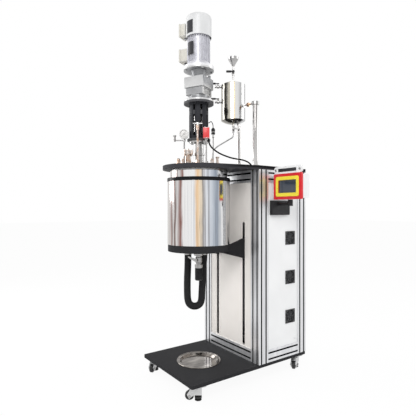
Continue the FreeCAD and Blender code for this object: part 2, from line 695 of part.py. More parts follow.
def make_lid():
    """Lid with a hub through the top plate, a flange under it, a spigot into the pot, and a
    soft seal in a groove of the flange."""
    body = new_body("Lid")
    seal_in, seal_out = s.seal_radius + 4, s.seal_radius + 4 + s.seal_thick
    revolve(body, [
        (s.shaft_radius + 4, lid_low - s.spigot_deep), (s.spigot_radius - 4, lid_low - s.spigot_deep),
        (s.spigot_radius, lid_low - s.spigot_deep + 4), (s.spigot_radius, lid_low),
        (seal_in, lid_low), (seal_in, lid_low + s.seal_deep), (seal_out, lid_low + s.seal_deep),
        (seal_out, lid_low),
        (s.lid_radius - 1, lid_low), (s.lid_radius, lid_low + 1), (s.lid_radius, s.plate_low),
        (s.lid_hub, s.plate_low), (s.lid_hub, lid_top - 3), (s.lid_hub - 3, lid_top),
        (s.shaft_radius + 4, lid_top)])
    hole = ring(new_sketch(body, "XY", s.plate_low), s.lid_bolt + s.fit_gap, s.lid_bolt_circle)
    deep = s.lid_flange - s.seal_deep - s.bolt_web
    around(body, pocket(body, hole, deep), s.lid_bolt_count)
    seal = turned("LidSeal", [(seal_in, lid_low), (seal_out, lid_low), (seal_out, lid_low + s.seal_deep),
                              (seal_in, lid_low + s.seal_deep)])
    node(group(body, seal), "lid")


def make_lid_bolts():
    """Socket-headed bolts through the top plate into the lid's flange."""
    body = new_body("LidBolts")
    bolt_end = lid_low + s.seal_deep + s.bolt_web + s.fit_gap
    head = outline(new_sketch(body, "XZ"), [
        (0, bolt_end), (s.lid_bolt, bolt_end), (s.lid_bolt, plate_high),
        (s.lid_bolt_head, plate_high), (s.lid_bolt_head, plate_high + s.lid_bolt_high - 1),
        (s.lid_bolt_head - 1, plate_high + s.lid_bolt_high),
        (s.lid_bolt_head * 0.55, plate_high + s.lid_bolt_high),
        (s.lid_bolt_head * 0.55, plate_high + s.lid_bolt_high / 2),
        (0, plate_high + s.lid_bolt_high / 2)])
    feature = body.newObject("PartDesign::Revolution", "BoltTurned")
    feature.Profile = head
    feature.ReferenceAxis = (head, ["V_Axis"])
    feature.Angle = 360
    bolts = []
    for place in range(int(s.lid_bolt_count.value)):
        angle = math.radians(place * 360 / s.lid_bolt_count.value)
        bolts.append(move(group(body), s.lid_bolt_circle * math.cos(angle),
                          s.lid_bolt_circle * math.sin(angle)))
    node(group(*bolts), "lid_bolts")


# Vessel that the lift carries

def make_vessel():
    """Inner pot with its flange and bottom nozzle, the jacket round it and the black ring."""
    outer = s.pot_radius + s.pot_wall
    flange_high = lid_low - s.fit_gap
    pot = turned("VesselPot", [
        (s.nozzle_bore, s.pot_bottom, s.dish_crown), (s.pot_radius, s.pot_dish),
        (s.pot_radius, flange_high),
        (s.lid_radius - 1, flange_high), (s.lid_radius, flange_high - 1),
        (s.lid_radius, s.pot_flange_low), (outer, s.pot_flange_low),
        (outer, s.pot_dish - s.pot_wall / 2, -s.dish_crown),
        (s.nozzle_radius, s.pot_bottom - s.pot_wall),
        (s.nozzle_radius, s.jacket_dish - s.jacket_sheet),
        (s.nozzle_bore, s.jacket_dish - s.jacket_sheet)])
    node(pot, "vessel_pot")

    sheet = s.jacket_sheet
    jacket = turned("Jacket", [
        (s.nozzle_radius, s.jacket_dish - sheet, s.dish_crown),
        (s.jacket_seat, s.jacket_low - sheet),
        (s.jacket_radius - 2, s.jacket_low - sheet), (s.jacket_radius, s.jacket_low - sheet + 2),
        (s.jacket_radius, s.jacket_high), (outer, s.jacket_high),
        (outer, s.jacket_high - sheet), (s.jacket_radius - sheet, s.jacket_high - sheet),
        (s.jacket_radius - sheet, s.jacket_low), (s.jacket_seat, s.jacket_low, -s.dish_crown),
        (s.nozzle_radius, s.jacket_dish)])
    ports = []
    for across, _ in (HOSE_ROUTE[0], HOSE_ROUTE[-1]):
        x, y = plan(across, -HOSE_BEHIND)
        tall = s.jacket_low - s.hose_top
        ports.append(cut(cylinder(s.port_radius, tall, x, y, s.hose_top),
                         cylinder(s.port_radius - 4, tall, x, y, s.hose_top)))
    node(fuse(jacket, *ports), "jacket")

    collar = turned("FlangeRing", [
        (outer, s.jacket_high), (s.ring_radius - 2, s.jacket_high),
        (s.ring_radius, s.jacket_high + 2), (s.ring_radius, s.pot_flange_low - 2),
        (s.ring_radius - 2, s.pot_flange_low), (outer, s.pot_flange_low)])
    node(collar, "flange_ring")


# Carrier under the vessel, and the lift inside the cabinet

def make_carrier():
    """Ring under the jacket's edge, two arms that reach through the slits, and the carriage
    plate behind the front panel with its bearings and nut."""
    top = s.jacket_low - s.jacket_sheet
    inner = s.carrier_radius - s.carrier_wall
    band = turned("CarrierRing", [
        (inner, s.carrier_low), (s.carrier_radius, s.carrier_low), (s.carrier_radius, top),
        (inner, top)])
    plate_front = s.carriage_y
    plate_back = plate_front + s.carriage_thick
    middle = s.carrier_radius - s.carrier_wall / 2
    arm_root = (middle * middle - s.slit_x * s.slit_x).root()
    arm_side = s.slit_x - s.arm_thick / 2
    arm_rise = (s.ring_radius * s.ring_radius - arm_side * arm_side).root()
    arms = []
    for way, name in ((-1, "Left"), (1, "Right")):
        arm = new_body("Arm" + name)
        side = outline(new_sketch(arm, "YZ", way * s.slit_x), [
            (s.arm_start, s.carrier_low), (s.cabinet_front - 4, s.arm_low),
            (plate_front, s.arm_low), (plate_front, s.arm_high),
            (s.cabinet_front - 4, s.arm_high), (arm_rise, top), (arm_root, top),
            (arm_root, s.carrier_low)])
        pad(arm, side, s.arm_thick, True)
        arms.append(arm)
    reach = s.slit_x + s.arm_thick
    plate = block(-reach, reach, plate_front, plate_back, s.arm_low, s.arm_high)
    tall = s.arm_high - s.arm_low
    bearings, bores = [], []
    for x, rod in ((-s.guide_x, s.guide_rod), (s.guide_x, s.guide_rod), (0, s.screw_rod)):
        side = s.bearing_radius
        bearings.append(block(x - side, x + side, plate_back, s.guide_y, s.arm_low, s.arm_high))
        bearings.append(cylinder(side, tall, x, s.guide_y, s.arm_low))
        bores.append(cylinder(rod + s.running_gap, tall, x, s.guide_y, s.arm_low))
    node(cut(fuse(band, plate, *arms, *bearings), *bores), "carrier")


def make_lift_guides():
    """Two round guides and the lift's screw between cross bars fixed to the posts."""
    low, high = panel_low + 2, panel_high - 2
    y_low, y_high = s.guide_y - s.guide_bar, s.guide_y + s.guide_bar
    bars = [block(-panel_half, panel_half, y_low, y_high, low, low + s.guide_bar),
            block(-panel_half, panel_half, y_low, y_high, high - s.guide_bar, high)]
    tall = high - low - 2 * s.guide_bar
    rods = [cylinder(s.guide_rod, tall, way * s.guide_x, s.guide_y, low + s.guide_bar)
            for way in (-1, 1)]
    rods.append(cylinder(s.screw_rod, tall, 0, s.guide_y, low + s.guide_bar))
    node(fuse(*bars, *rods), "lift_guides")


# Discharge valve and the jacket's hose

valve_top = s.jacket_dish - s.jacket_sheet
LEVER_TURN = 205


def make_discharge_valve():
    """Clamped ball valve on the bottom nozzle, with a foam-sleeved outlet, and its lever."""
    ball = (s.valve_low + valve_top - s.clamp_thick) / 2
    valve = turned("DischargeValve", [
        (s.nozzle_bore, valve_top), (s.clamp_radius - 3, valve_top), (s.clamp_radius, valve_top - 3),
        (s.clamp_radius, valve_top - s.clamp_thick + 3),
        (s.clamp_radius - 3, valve_top - s.clamp_thick),
        (s.nozzle_radius, valve_top - s.clamp_thick), (s.nozzle_radius, ball + 20),
        (s.valve_radius, ball + 16), (s.valve_radius, ball - 16), (s.nozzle_radius, ball - 20),
        (s.nozzle_radius, s.valve_low), (s.valve_end, s.valve_low),
        (s.valve_end, s.valve_low - s.valve_end_thick), (s.nozzle_bore, s.valve_low - s.valve_end_thick)])
    boss = cylinder(9, s.valve_radius + 10, 0, 0, ball, "y")
    stem_bore = cylinder(4 + s.running_gap, s.valve_radius + 12, 0, s.valve_radius - 8, ball, "y")
    sleeve_top = s.valve_low - s.valve_end_thick
    sleeve = turned("Sleeve", [
        (s.nozzle_bore + 2, s.sleeve_low), (s.sleeve_radius - 3, s.sleeve_low),
        (s.sleeve_radius, s.sleeve_low + 3), (s.sleeve_radius, sleeve_top),
        (s.nozzle_bore + 2, sleeve_top)])
    bore = cylinder(s.nozzle_bore, s.valve_radius * 3, 0, 0, ball - s.valve_radius * 1.5)
    valve_body = cut(fuse(valve, boss), bore, stem_bore)
    node(group(valve_body, sleeve), "discharge_valve", 0, 0, 0, LEVER_TURN)
    lever = new_body("DischargeLever")
    grip = outline(new_sketch(lever, "XZ", -s.valve_radius - 15 - s.fit_gap), [
        (-8, -8), (8, -8), (58, 14), (62, 22), (56, 24), (4, 9), (-8, 8)])
    pad(lever, grip, 5)
    stem = cylinder(4, 16, 0, s.valve_radius - 4, 0, "y")
    node(fuse(lever, stem), "discharge_lever", 0, 0, ball, LEVER_TURN)


# The hose's plane stands across the machine's front right corner, behind the valve. Each point
# is a distance along that plane, positive towards the cabinet's right, and a height.
HOSE_ROUTE = [(-74, 806), (-74, 730), (-78, 645), (-79, 560), (-76, 475), (-49, 446),
              (-11, 446), (17, 472), (20, 548), (24, 625), (24, 700), (34, 765), (34, 806)]
HOSE_BEHIND = 60


def cord_path(points):
    """Straight runs joined by arcs that touch both. Returns the wire and its radii."""
    edges, radii = [], []
    start = points[0]
    for before, corner, after in zip(points, points[1:], points[2:]):
        into, out = (before - corner), (after - corner)
        turn = math.pi - into.getAngle(out)
        setback = 0.45 * min(into.Length, out.Length)
        radii.append(setback / math.tan(turn / 2))
        first = corner + into.normalize() * setback
        last = corner + out.normalize() * setback
        inward = (into + out).normalize()
        reach = math.hypot(radii[-1], setback) - radii[-1]
        edges.append(Part.LineSegment(start, first).toShape())
        edges.append(Part.Arc(first, corner + inward * reach, last).toShape())
        start = last
    edges.append(Part.LineSegment(start, points[-1]).toShape())
    return Part.Wire(edges), radii


def pipe(label, points, radius):
    """Round tube along a route, as a piece of the document."""
    wire, radii = cord_path(points)
    print(label, "length", round(wire.Length), "radii", [round(r) for r in radii])
    heading = points[1] - points[0]
    face = Part.Face(Part.Wire(Part.Circle(points[0], heading, radius).toShape()))
    tube = wire.makePipeShell([face.OuterWire], True, False)
    ratio = tube.Volume / (math.pi * radius ** 2 * wire.Length)
    if abs(ratio - 1) > 0.01:
        raise ValueError("%s volume is %.3f of its section times its length" % (label, ratio))
    thing = doc.addObject("Part::Feature", "Pipe")
    thing.Shape = tube
    return thing


def make_hose():
    points = []
    for across, high in HOSE_ROUTE:
        points.append(Vector(*plan(across, -HOSE_BEHIND), high))
    node(pipe("jacket_hose", points, s.hose_radius.value), "jacket_hose")


# Drive: magnetic-coupling neck, lantern, gearbox, adaptor and motor, all turned together

def drive_node(thing, label):
    return node(thing, label, 0, 0, 0, s.drive_turn)


def make_drive_neck():
    """Bolted neck that seals the shaft and carries the lantern."""
    low, high = lid_top, s.lantern_low
    bore = s.shaft_radius + 4
    body = new_body("DriveNeck")
    revolve(body, [
        (bore, low), (s.neck_flange, low), (s.neck_flange, low + 14), (s.neck_radius + 4, low + 14),
        (s.neck_radius, low + 18), (s.neck_radius, low + 60), (s.neck_radius + 6, low + 62),
        (s.neck_radius + 6, low + 74), (s.neck_radius, low + 76), (s.neck_radius, high - 18),
        (s.neck_radius + 4, high - 14), (s.neck_top, high - 14), (s.neck_top, high),
        (s.shaft_radius + s.running_gap, high), (s.shaft_radius + s.running_gap, high - 14),
        (bore, high - 16)])
    bolts = []
    for circle, foot in ((s.neck_flange - 10, low + 14), (s.neck_top - 11, high - 19)):
        for place in range(6):
            angle = math.radians(place * 60)
            head = doc.addObject("Part::Prism", "NeckBolt")
            head.Polygon = 6
            bind(head, "Circumradius", 6)
            bind(head, "Height", 5)
            bolts.append(move(head, circle * math.cos(angle), circle * math.sin(angle), foot))
    drive_node(fuse(body, *bolts), "drive_neck")


def make_lantern():
    """Tube between neck and gearbox, with two rows of windows round the coupling."""
    body = new_body("Lantern")
    inner = s.lantern_radius - s.lantern_wall
    low, high = s.lantern_low, s.lantern_high
    revolve(body, [
        (inner, low), (s.lantern_foot, low), (s.lantern_foot, low + s.lantern_foot_thick),
        (s.lantern_radius + 3, low + s.lantern_foot_thick),
        (s.lantern_radius, low + s.lantern_foot_thick + 3),
        (s.lantern_radius, high - s.lantern_head_thick - 3),
        (s.lantern_radius + 3, high - s.lantern_head_thick),
        (s.lantern_head, high - s.lantern_head_thick), (s.lantern_head, high), (inner, high)])
    reach = s.window_wide / 2
    rows_of = ((s.window_low, s.window_split), (s.window_split + s.window_gap, s.window_high))
    sketch = new_sketch(body, "YZ", inner - 5)
    for bottom, top in rows_of:
        outline(sketch, [(-reach, bottom), (reach, bottom), (reach, top), (-reach, top)])
    around(body, pocket(body, sketch, s.lantern_wall + 10, back=True), s.window_count)
    drive_node(body, "lantern")


def make_gearbox():
    """Cast housing of two stepped blocks on a turned output flange, with its breather."""
    body = new_body("Gearbox")
    lower = s.box_narrow / 2
    upper = s.box_wide / 2
    bevel = 6
    for name, side, low, high in (("Low", lower, s.box_low, s.box_mid),
                                  ("High", upper, s.box_mid, s.box_high)):
        sketch = outline(new_sketch(body, "XY", low), [
            (-side + bevel, -side), (side - bevel, -side), (side, -side + bevel),
            (side, side - bevel), (side - bevel, side), (-side + bevel, side),
            (-side, side - bevel), (-side, -side + bevel)])
        pad(body, sketch, high - low)
    holes = new_sketch(body, "YZ", lower)
    for across in (-1, 1):
        for up in (0.28, 0.72):
            ring(holes, 4, across * lower * 0.5, s.box_low + (s.box_mid - s.box_low) * up)
    pocket(body, holes, 8)
    neck = turned("GearboxNeck", [
        (s.shaft_radius + 6, s.lantern_high), (s.lantern_head, s.lantern_high),
        (s.lantern_head, s.lantern_high + s.box_flange_thick - 2),
        (s.lantern_head - 2, s.lantern_high + s.box_flange_thick), (s.box_neck, s.box_neck_low),
        (s.box_neck, s.box_low), (s.shaft_radius + 6, s.box_low)])
    breather = cylinder(9, 26, upper * 0.78, upper * 0.6, s.box_high)
    drive_node(group(fuse(body, breather), neck), "gearbox")


def make_adaptor():
    """Turned bell between gearbox and motor, with the bolts of the motor's flange."""
    low, high = s.box_high, s.motor_flange_low
    bell = turned("Adaptor", [
        (s.shaft_radius + 6, low), (s.adaptor_low, low), (s.adaptor_low, low + 12),
        (s.adaptor_high, high - 10), (s.motor_flange, high - 10), (s.motor_flange, high),
        (s.shaft_radius + 6, high)])
    bolts = []
    for place in range(4):
        angle = math.radians(45 + place * 90)
        circle = s.motor_flange - 12
        head = doc.addObject("Part::Prism", "FlangeBolt")
        head.Polygon = 6
        bind(head, "Circumradius", 8)
        bind(head, "Height", 6)
        bolts.append(move(head, circle * math.cos(angle), circle * math.sin(angle), high - 16))
    drive_node(fuse(bell, *bolts), "motor_adaptor")


def terminal_box(low, high, inside):
    """Cast box with a proud lid, reaching out from the motor's side."""
    side = s.terminal_wide / 2
    outer = -s.terminal_reach
    box = block(outer + 8, -inside, -side + 4, side - 4, low + 3, high - 3)
    cover = block(outer, outer + 8, -side, side, low, high)
    gland = cylinder(9, 14, outer + 30, 0, low - 11)
    return fuse(box, cover, gland)


def make_motor():
    """Finned stator housing between two end shields, with the terminal boxes at its side."""
    low, high = s.motor_low, s.cowl_low + 12
    body = new_body("Motor")
    revolve(body, [
        (0, s.motor_flange_low), (s.motor_flange, s.motor_flange_low),
        (s.motor_flange, motor_flange_high), (s.motor_fin + 4, motor_flange_high + 6),
        (s.motor_fin + 2, low), (s.motor_core, low), (s.motor_core, high - 8),
        (s.motor_fin, high - 8), (s.motor_fin, high), (0, high)])
    fin = outline(new_sketch(body, "XY", low - 1), [
        (s.motor_core - 2, -s.fin_thick / 2), (s.motor_fin, -s.fin_thick / 2),
        (s.motor_fin, s.fin_thick / 2), (s.motor_core - 2, s.fin_thick / 2)])
    around(body, pad(body, fin, high - low - 6), s.fin_count)
    feet = []
    for low_end, high_end, inside in (
            (s.terminal_low, s.terminal_high, s.motor_core - 4),
            (s.vent_box_low, s.vent_box_high, s.cowl_radius + s.fit_gap)):
        feet.append(terminal_box(low_end, high_end, inside))
    shaft_hole = cylinder(6 + s.running_gap, 30, 0, 0, high - 30)
    drive_node(group(cut(fuse(body, feet[0]), shaft_hole), feet[1]), "motor_housing")


def make_fan_cowl():
    """Pressed cowl with a rounded shoulder and rings of air slots in its top."""
    body = new_body("FanCowl")
    sheet, turn = s.cowl_sheet, s.cowl_round
    top, outer = s.cowl_high, s.cowl_radius
    revolve(body, [
        (0, top - sheet), (outer - turn, top - sheet, -(turn - sheet)),
        (outer - sheet, top - turn), (outer - sheet, s.cowl_low), (outer, s.cowl_low),
        (outer, top - turn, turn), (outer - turn, top), (0, top)])
    reach = 3
    for start, end, count in ((14, 32, 8), (38, 60, 12)):
        slot = outline(new_sketch(body, "XY", top), [
            (start, -reach), (end, -reach), (end, reach), (start, reach)])
        around(body, pocket(body, slot, 2 * sheet), count)
    feet = []
    for place in range(4):
        angle = 45 + place * 90
        foot = block(s.motor_fin, outer - sheet, -6, 6, s.cowl_low + 2, s.cowl_low + 10)
        holder = group(foot)
        holder.Placement = Placement(Vector(), Rotation(Vector(0, 0, 1), angle))
        feet.append(group(holder))
    drive_node(fuse(body, *feet), "fan_cowl")


def make_cooling_fan():
    """Motor's fan: a hub on the shaft's end, a back disc and radial blades."""
    low = s.cowl_low + 26
    hub = cylinder(16, 40, 0, 0, low)
    disc = cylinder(s.motor_core, 3, 0, 0, low)
    stub = cylinder(6, 38, 0, 0, low - 30)
    blades = []
    for place in range(8):
        blade = block(14, s.motor_core - 2, -1.5, 1.5, low + 2, low + 34)
        holder = group(blade)
        holder.Placement = Placement(Vector(), Rotation(Vector(0, 0, 1), place * 45))
        blades.append(group(holder))
    drive_node(fuse(hub, disc, stub, *blades), "cooling_fan")


# Stirrer

def make_stirrer():
    """Shaft with its two-part coupling inside the lantern, and the anchor in the pot."""
    low, high = s.anchor_low, s.lantern_high
    split = (s.coupling_low + s.coupling_high) / 2
    shaft = turned("StirrerShaft", [
        (0, low), (s.shaft_radius, low), (s.shaft_radius, s.coupling_low),
        (s.coupling_radius - 3, s.coupling_low), (s.coupling_radius, s.coupling_low + 3),
        (s.coupling_radius, split - 8), (s.coupling_radius - 6, split - 8),
        (s.coupling_radius - 6, split + 8), (s.coupling_radius, split + 8),
        (s.coupling_radius, s.coupling_high - 3), (s.coupling_radius - 3, s.coupling_high),
        (s.shaft_radius + 2, s.coupling_high), (s.shaft_radius + 2, high + 10), (0, high + 10)])
    node(shaft, "stirrer_shaft")
    body = new_body("Anchor")
    bar, reach = s.anchor_bar, s.anchor_radius
    bore = s.shaft_radius
    bottom = outline(new_sketch(body, "XZ"), [
        (-reach, low + 22), (-reach + 26, low), (reach - 26, low), (reach, low + 22),
        (reach, s.anchor_high), (reach - bar, s.anchor_high), (reach - bar, low + 28),
        (reach - 32, low + bar), (-reach + 32, low + bar), (-reach + bar, low + 28),
        (-reach + bar, s.anchor_high), (-reach, s.anchor_high)])
    pad(body, bottom, 6, True)
    cross = block(-reach + bar, reach - bar, -3, 3, s.anchor_high - 40, s.anchor_high - 40 + bar)
    hubs = [cylinder(bore + 8, 24, 0, 0, height) for height in (low, s.anchor_high - 46)]
    node(cut(fuse(body, cross, *hubs), cylinder(bore, high - low, 0, 0, low)), "anchor")


# Fittings on the lid

def hexagon(radius, height, x, y, z):
    thing = doc.addObject("Part::Prism", "Hexagon")
    thing.Polygon = 6
    bind(thing, "Circumradius", radius)
    bind(thing, "Height", height)
    return move(thing, x, y, z)


HANDLE_SPOT = plan(-4, 135)
GAUGE_SPOT = plan(-95, 20)
HEAD_SPOT = plan(50, 90)
PLUG_SPOT = plan(96, -95)
INLET_SPOT = plan(92, -35)
PORT_SPOT = plan(-68, 60)
DOME_SPOT = plan(-132, 20)


def make_lid_ports():
    """Bolted charging port, domed relief nut, capped nozzles, the sampling valve's body with
    its dip tube under the lid, and the dosing inlet."""
    x, y = PORT_SPOT
    neck = cylinder(20, s.port_high - lid_top, x, y, lid_top)
    flange = cylinder(s.bolted_port, 13, x, y, s.port_high - 28)
    cover = cylinder(s.bolted_port, 12, x, y, s.port_high - 14)
    bolts = []
    for place in range(6):
        angle = math.radians(place * 60 + 30)
        reach = s.bolted_port - 7
        bolts.append(hexagon(5, 42, x + reach * math.cos(angle), y + reach * math.sin(angle),
                             s.port_high - 36))
    pieces = [fuse(neck, flange, cover, *bolts)]
    x, y = DOME_SPOT
    pieces.append(fuse(hexagon(16, 20, x, y, lid_top), cylinder(12, 32, x, y, lid_top),
                       move(dome(12), x, y, lid_top + 32)))
    for across, toward, high in ((84, 66, 30), (122, 48, 42), (-100, 88, 26), (-30, -118, 34)):
        x, y = plan(across, toward)
        pieces.append(fuse(cylinder(8, high, x, y, lid_top), hexagon(12, 10, x, y, lid_top),
                           hexagon(12, 8, x, y, lid_top + high - 2)))
    x, y = HANDLE_SPOT
    stem_top = s.handle_high - 12
    pieces.append(fuse(hexagon(13, 18, x, y, lid_top), cylinder(5, stem_top - lid_top, x, y, lid_top),
                       cylinder(9, 34, x, y, stem_top - 34)))
    pieces.append(cylinder(5, lid_low - s.spigot_deep - s.pot_dish - 20, x, y, s.pot_dish + 20))
    x, y = INLET_SPOT
    pieces.append(fuse(hexagon(12, 12, x, y, lid_top), cylinder(8, 40, x, y, lid_top)))
    node(group(*pieces), "lid_ports")


def dome(radius):
    thing = doc.addObject("Part::Sphere", "Dome")
    bind(thing, "Radius", radius)
    thing.Angle1 = 0
    return thing


def make_t_handle():
    """Cross handle on the sampling valve's stem."""
    hub = hexagon(9, 12, 0, 0, 0)
    bar = cylinder(4.5, s.handle_wide, -s.handle_wide / 2, 0, 6, "x")
    x, y = HANDLE_SPOT
    node(fuse(hub, bar), "t_handle", x, y, s.handle_high - 12 + s.fit_gap, CORNER_HEADING)


def make_pressure_gauge():
    """Gauge on a stand pipe, with a side branch and its needle valve."""
    x, y = GAUGE_SPOT
    tee = s.gauge_high - s.gauge_radius - 10
    pipe = cylinder(5, tee - lid_top, 0, 0, lid_top)
    nut = hexagon(11, 14, 0, 0, lid_top)
    joint = hexagon(9, 14, 0, 0, tee - 7)
    case = cylinder(s.gauge_radius, 24, 0, 12, s.gauge_high, "-y")
    rim = cut(cylinder(s.gauge_radius + 2, 6, 0, -12, s.gauge_high, "-y"),
              cylinder(s.gauge_radius - 3, 4, 0, -14, s.gauge_high, "-y"))
    branch = cylinder(4, 62, 0, 0, tee, "-x")
    valve = cylinder(7, 34, -62, 0, tee - 8)
    knob = cylinder(11, 6, -62, 0, tee + 26)
    node(fuse(pipe, nut, joint, cylinder(5, 12, 0, 0, tee), case, rim, branch, valve, knob),
         "pressure_gauge", x, y, 0, CORNER_HEADING)


def make_sensor_head():
    """Transmitter's moulded head on a stem, with a gland under it for the cable."""
    x, y = HEAD_SPOT
    stem = cylinder(5, s.head_low - lid_top, 0, 0, lid_top)
    nut = hexagon(12, 16, 0, 0, lid_top)
    collar = cylinder(10, 8, 0, 0, s.head_low - 8)
    body = new_body("SensorHead")
    side = s.head_radius
    shape = outline(new_sketch(body, "XY", s.head_low), [
        (-side + 5, -side), (side - 5, -side), (side, -side + 5), (side, side - 5),
        (side - 5, side), (-side + 5, side), (-side, side - 5), (-side, -side + 5)])
    pad(body, shape, s.head_high - s.head_low)
    node(group(body, fuse(stem, nut, collar)), "sensor_head", x, y, 0, CORNER_HEADING)


def make_thermocouple():
    """Pocket in the lid with its stem, and the plug on top."""
    x, y = PLUG_SPOT
    stem = turned("ThermoStem", [
        (0, lid_top), (12, lid_top), (12, lid_top + 14), (5, lid_top + 18),
        (5, s.plug_low - 24), (8, s.plug_low - 20), (8, s.plug_low), (0, s.plug_low)])
    plug = turned("ThermoPlug", [
        (0, s.plug_low), (11, s.plug_low), (13, s.plug_low + 4), (13, s.plug_high - 10),
        (6, s.plug_high), (0, s.plug_high)])
    low = s.pot_dish + 40
    pocket_tube = cylinder(4, lid_low - s.spigot_deep - low, 0, 0, low)
    node(group(stem, plug, pocket_tube), "thermocouple", x, y)


# Dosing tank, its valves and its posts

def make_tank():
    """Closed shell with domed ends and short nozzles."""
    radius, dome_high, sheet = s.tank_radius, s.tank_dome, s.tank_sheet
    crown = (radius * radius + dome_high * dome_high) / (2 * dome_high)
    inner, nozzle = crown - sheet, 7
    low, high = s.tank_low, s.tank_high
    shell = turned("Tank", [
        (nozzle - 3, low - dome_high - 10), (nozzle, low - dome_high - 10),
        (nozzle, low - dome_high, crown), (radius, low), (radius, high, crown),
        (nozzle, high + dome_high), (nozzle, high + dome_high + 12),
        (nozzle - 3, high + dome_high + 12), (nozzle - 3, high + dome_high - sheet, -inner),
        (radius - sheet, high - sheet / 2), (radius - sheet, low + sheet / 2, -inner),
        (nozzle - 3, low - dome_high + sheet)])
    node(shell, "dosing_tank", s.tank_x, s.tank_y)


def ball_valve(length):
    """Small ball valve that stands up, its bonnet towards -Y."""
    body = turned("BallValve", [
        (0, -length / 2), (9, -length / 2), (9, -length / 2 + 8), (7, -length / 2 + 9),
        (7, -10), (11, -7), (11, 7), (7, 10), (7, length / 2 - 9), (9, length / 2 - 8),
        (9, length / 2), (0, length / 2)])
    bonnet = cylinder(6, 18, 0, 0, 0, "-y")
    return fuse(body, bonnet)


def lever(name, way=-1):
    """Blade lever on a hub, its pivot along Y and its grip along -X, or the other way."""
    body = new_body(name + "_blade")
    shape = outline(new_sketch(body, "XZ", 22), [
        (-8 * way, -6), (-8 * way, 6), (6 * way, 7), (20 * way, 3), (46 * way, 4),
        (48 * way, -1), (46 * way, -6), (20 * way, -6)])
    pad(body, shape, 4, True)
    return fuse(body, cylinder(7, 6, 0, -18.3, 0, "-y"))


funnel_low_end = s.funnel_valve + 22
SIDE_VALVES = {"upper": 1936, "lower": 1832}


def make_tank_fittings():
    """Funnel on its valve, the two side valves, the outlet valve, and the thin tube that is
    bent in three places on its way to the lid's dosing inlet."""
    x, y = s.tank_x, s.tank_y
    nozzle_high = s.tank_high + s.tank_dome + 12
    funnel = turned("Funnel", [
        (4, funnel_low_end), (7, funnel_low_end), (7, s.funnel_low - 4),
        (s.funnel_radius * 0.55, s.funnel_low + 20), (s.funnel_radius - 2, s.funnel_low + 44),
        (s.funnel_radius, s.funnel_high), (s.funnel_radius - 2, s.funnel_high),
        (s.funnel_radius - 4, s.funnel_low + 45), (s.funnel_radius * 0.55 - 2, s.funnel_low + 22),
        (4, s.funnel_low)])
    stand = cylinder(7, s.funnel_valve - 22 - nozzle_high, 0, 0, nozzle_high)
    pieces = [move(funnel, x, y), move(group(stand), x, y),
              move(ball_valve(44), x, y, s.funnel_valve, CORNER_HEADING)]
    reach = s.tank_radius.value + 22
    for high in SIDE_VALVES.values():
        away = ball_valve(44)
        away.Placement = Placement(Vector(), Rotation(Vector(1, 0, 0), -90))
        held = group(away)
        dx, dy = plan(-reach, 0)
        pieces.append(move(group(held), x + dx, y + dy, high, CORNER_HEADING - 90))
    outlet_top = s.tank_low - s.tank_dome - 10
    pieces.append(move(ball_valve(outlet_top.value - s.outlet_valve.value + 17), x, y,
                       (outlet_top + s.outlet_valve - 17) / 2, CORNER_HEADING))
    pieces.append(pipe("dosing_tube", [Vector(*point) for point in TUBE_ROUTE],
                       s.tube_radius.value))
    node(group(*pieces), "tank_fittings")


def make_tank_levers():
    """Levers of the four ball valves."""
    x, y = s.tank_x, s.tank_y
    node(lever("Funnel"), "funnel_lever", x, y, s.funnel_valve, CORNER_HEADING)
    reach = s.tank_radius.value + 22
    dx, dy = plan(-reach, 0)
    for name, high in SIDE_VALVES.items():
        part = lever(name)
        part.Placement = Placement(Vector(), Rotation(Vector(1, 0, 0), -90))
        node(group(group(part)), name + "_lever", x + dx, y + dy, high, CORNER_HEADING)
    outlet_top = s.tank_low - s.tank_dome - 10
    node(lever("Outlet", 1), "outlet_lever", x, y, (outlet_top + s.outlet_valve - 17) / 2,
         CORNER_HEADING)


def make_posts():
    """Post under the tank, taller post beside it, and the clamp and rod between them."""
    low = plate_high
    short = cylinder(s.post_radius, s.tank_low - s.tank_dome + 2 - low, s.post_x, s.post_y, low)
    foot = cylinder(s.post_radius + 10, 8, s.post_x, s.post_y, low)
    tall = cylinder(s.tall_post, s.tall_post_high - low, s.tall_post_x, s.post_y, low)
    tall_foot = cylinder(s.tall_post + 10, 8, s.tall_post_x, s.post_y, low)
    high = s.tall_post_high - 8
    clamp = cylinder(s.tall_post + 8, 20, s.tall_post_x, s.post_y, high - 10)
    dx = s.tall_post_x.value - s.tank_x.value
    dy = s.post_y.value - s.tank_y.value
    span = math.hypot(dx, dy)
    start = s.tank_radius.value + 0.3
    rod = cylinder(5, span - start, start, 0, 0, "x")
    knob = cylinder(13, 16, span - 62, 0, 0, "x")
    head = cylinder(11, 12, start, 0, 0, "x")
    arm = group(fuse(rod, knob, head))
    arm = move(group(arm), s.tank_x, s.tank_y, high, math.degrees(math.atan2(dy, dx)))
    node(group(fuse(short, foot), fuse(tall, tall_foot, clamp, arm)), "support_posts")


# Operating panel on its bracket

def make_bracket():
    """Box on the side panel, arm tube, and the post that the operating panel swings on."""
    body = new_body("Bracket")
    wall = panel_face + s.bracket_thick
    shape = outline(new_sketch(body, "XZ", -s.bracket_start), [
        (panel_face, s.bracket_low), (wall - 5, s.bracket_low), (wall, s.bracket_low + 5),
        (wall, s.bracket_high - 5), (wall - 5, s.bracket_high), (panel_face, s.bracket_high)])
    feature = pad(body, shape, s.bracket_end - s.bracket_start)
    feature.Reversed = True
    tube = cylinder(11, swivel_x - wall + 2, wall - 2, s.arm_y, s.arm_high_line, "x")
    rise = screen_base - 9 - s.arm_high_line + 14
    post = cylinder(s.swivel_radius, rise, swivel_x, s.arm_y, s.arm_high_line - 14)
    spigot = cylinder(7, 12, swivel_x, s.arm_y, screen_base - 9)
    node(fuse(body, tube, post, spigot), "screen_bracket")


screen_base = s.screen_low + 8
title_base = s.screen_high


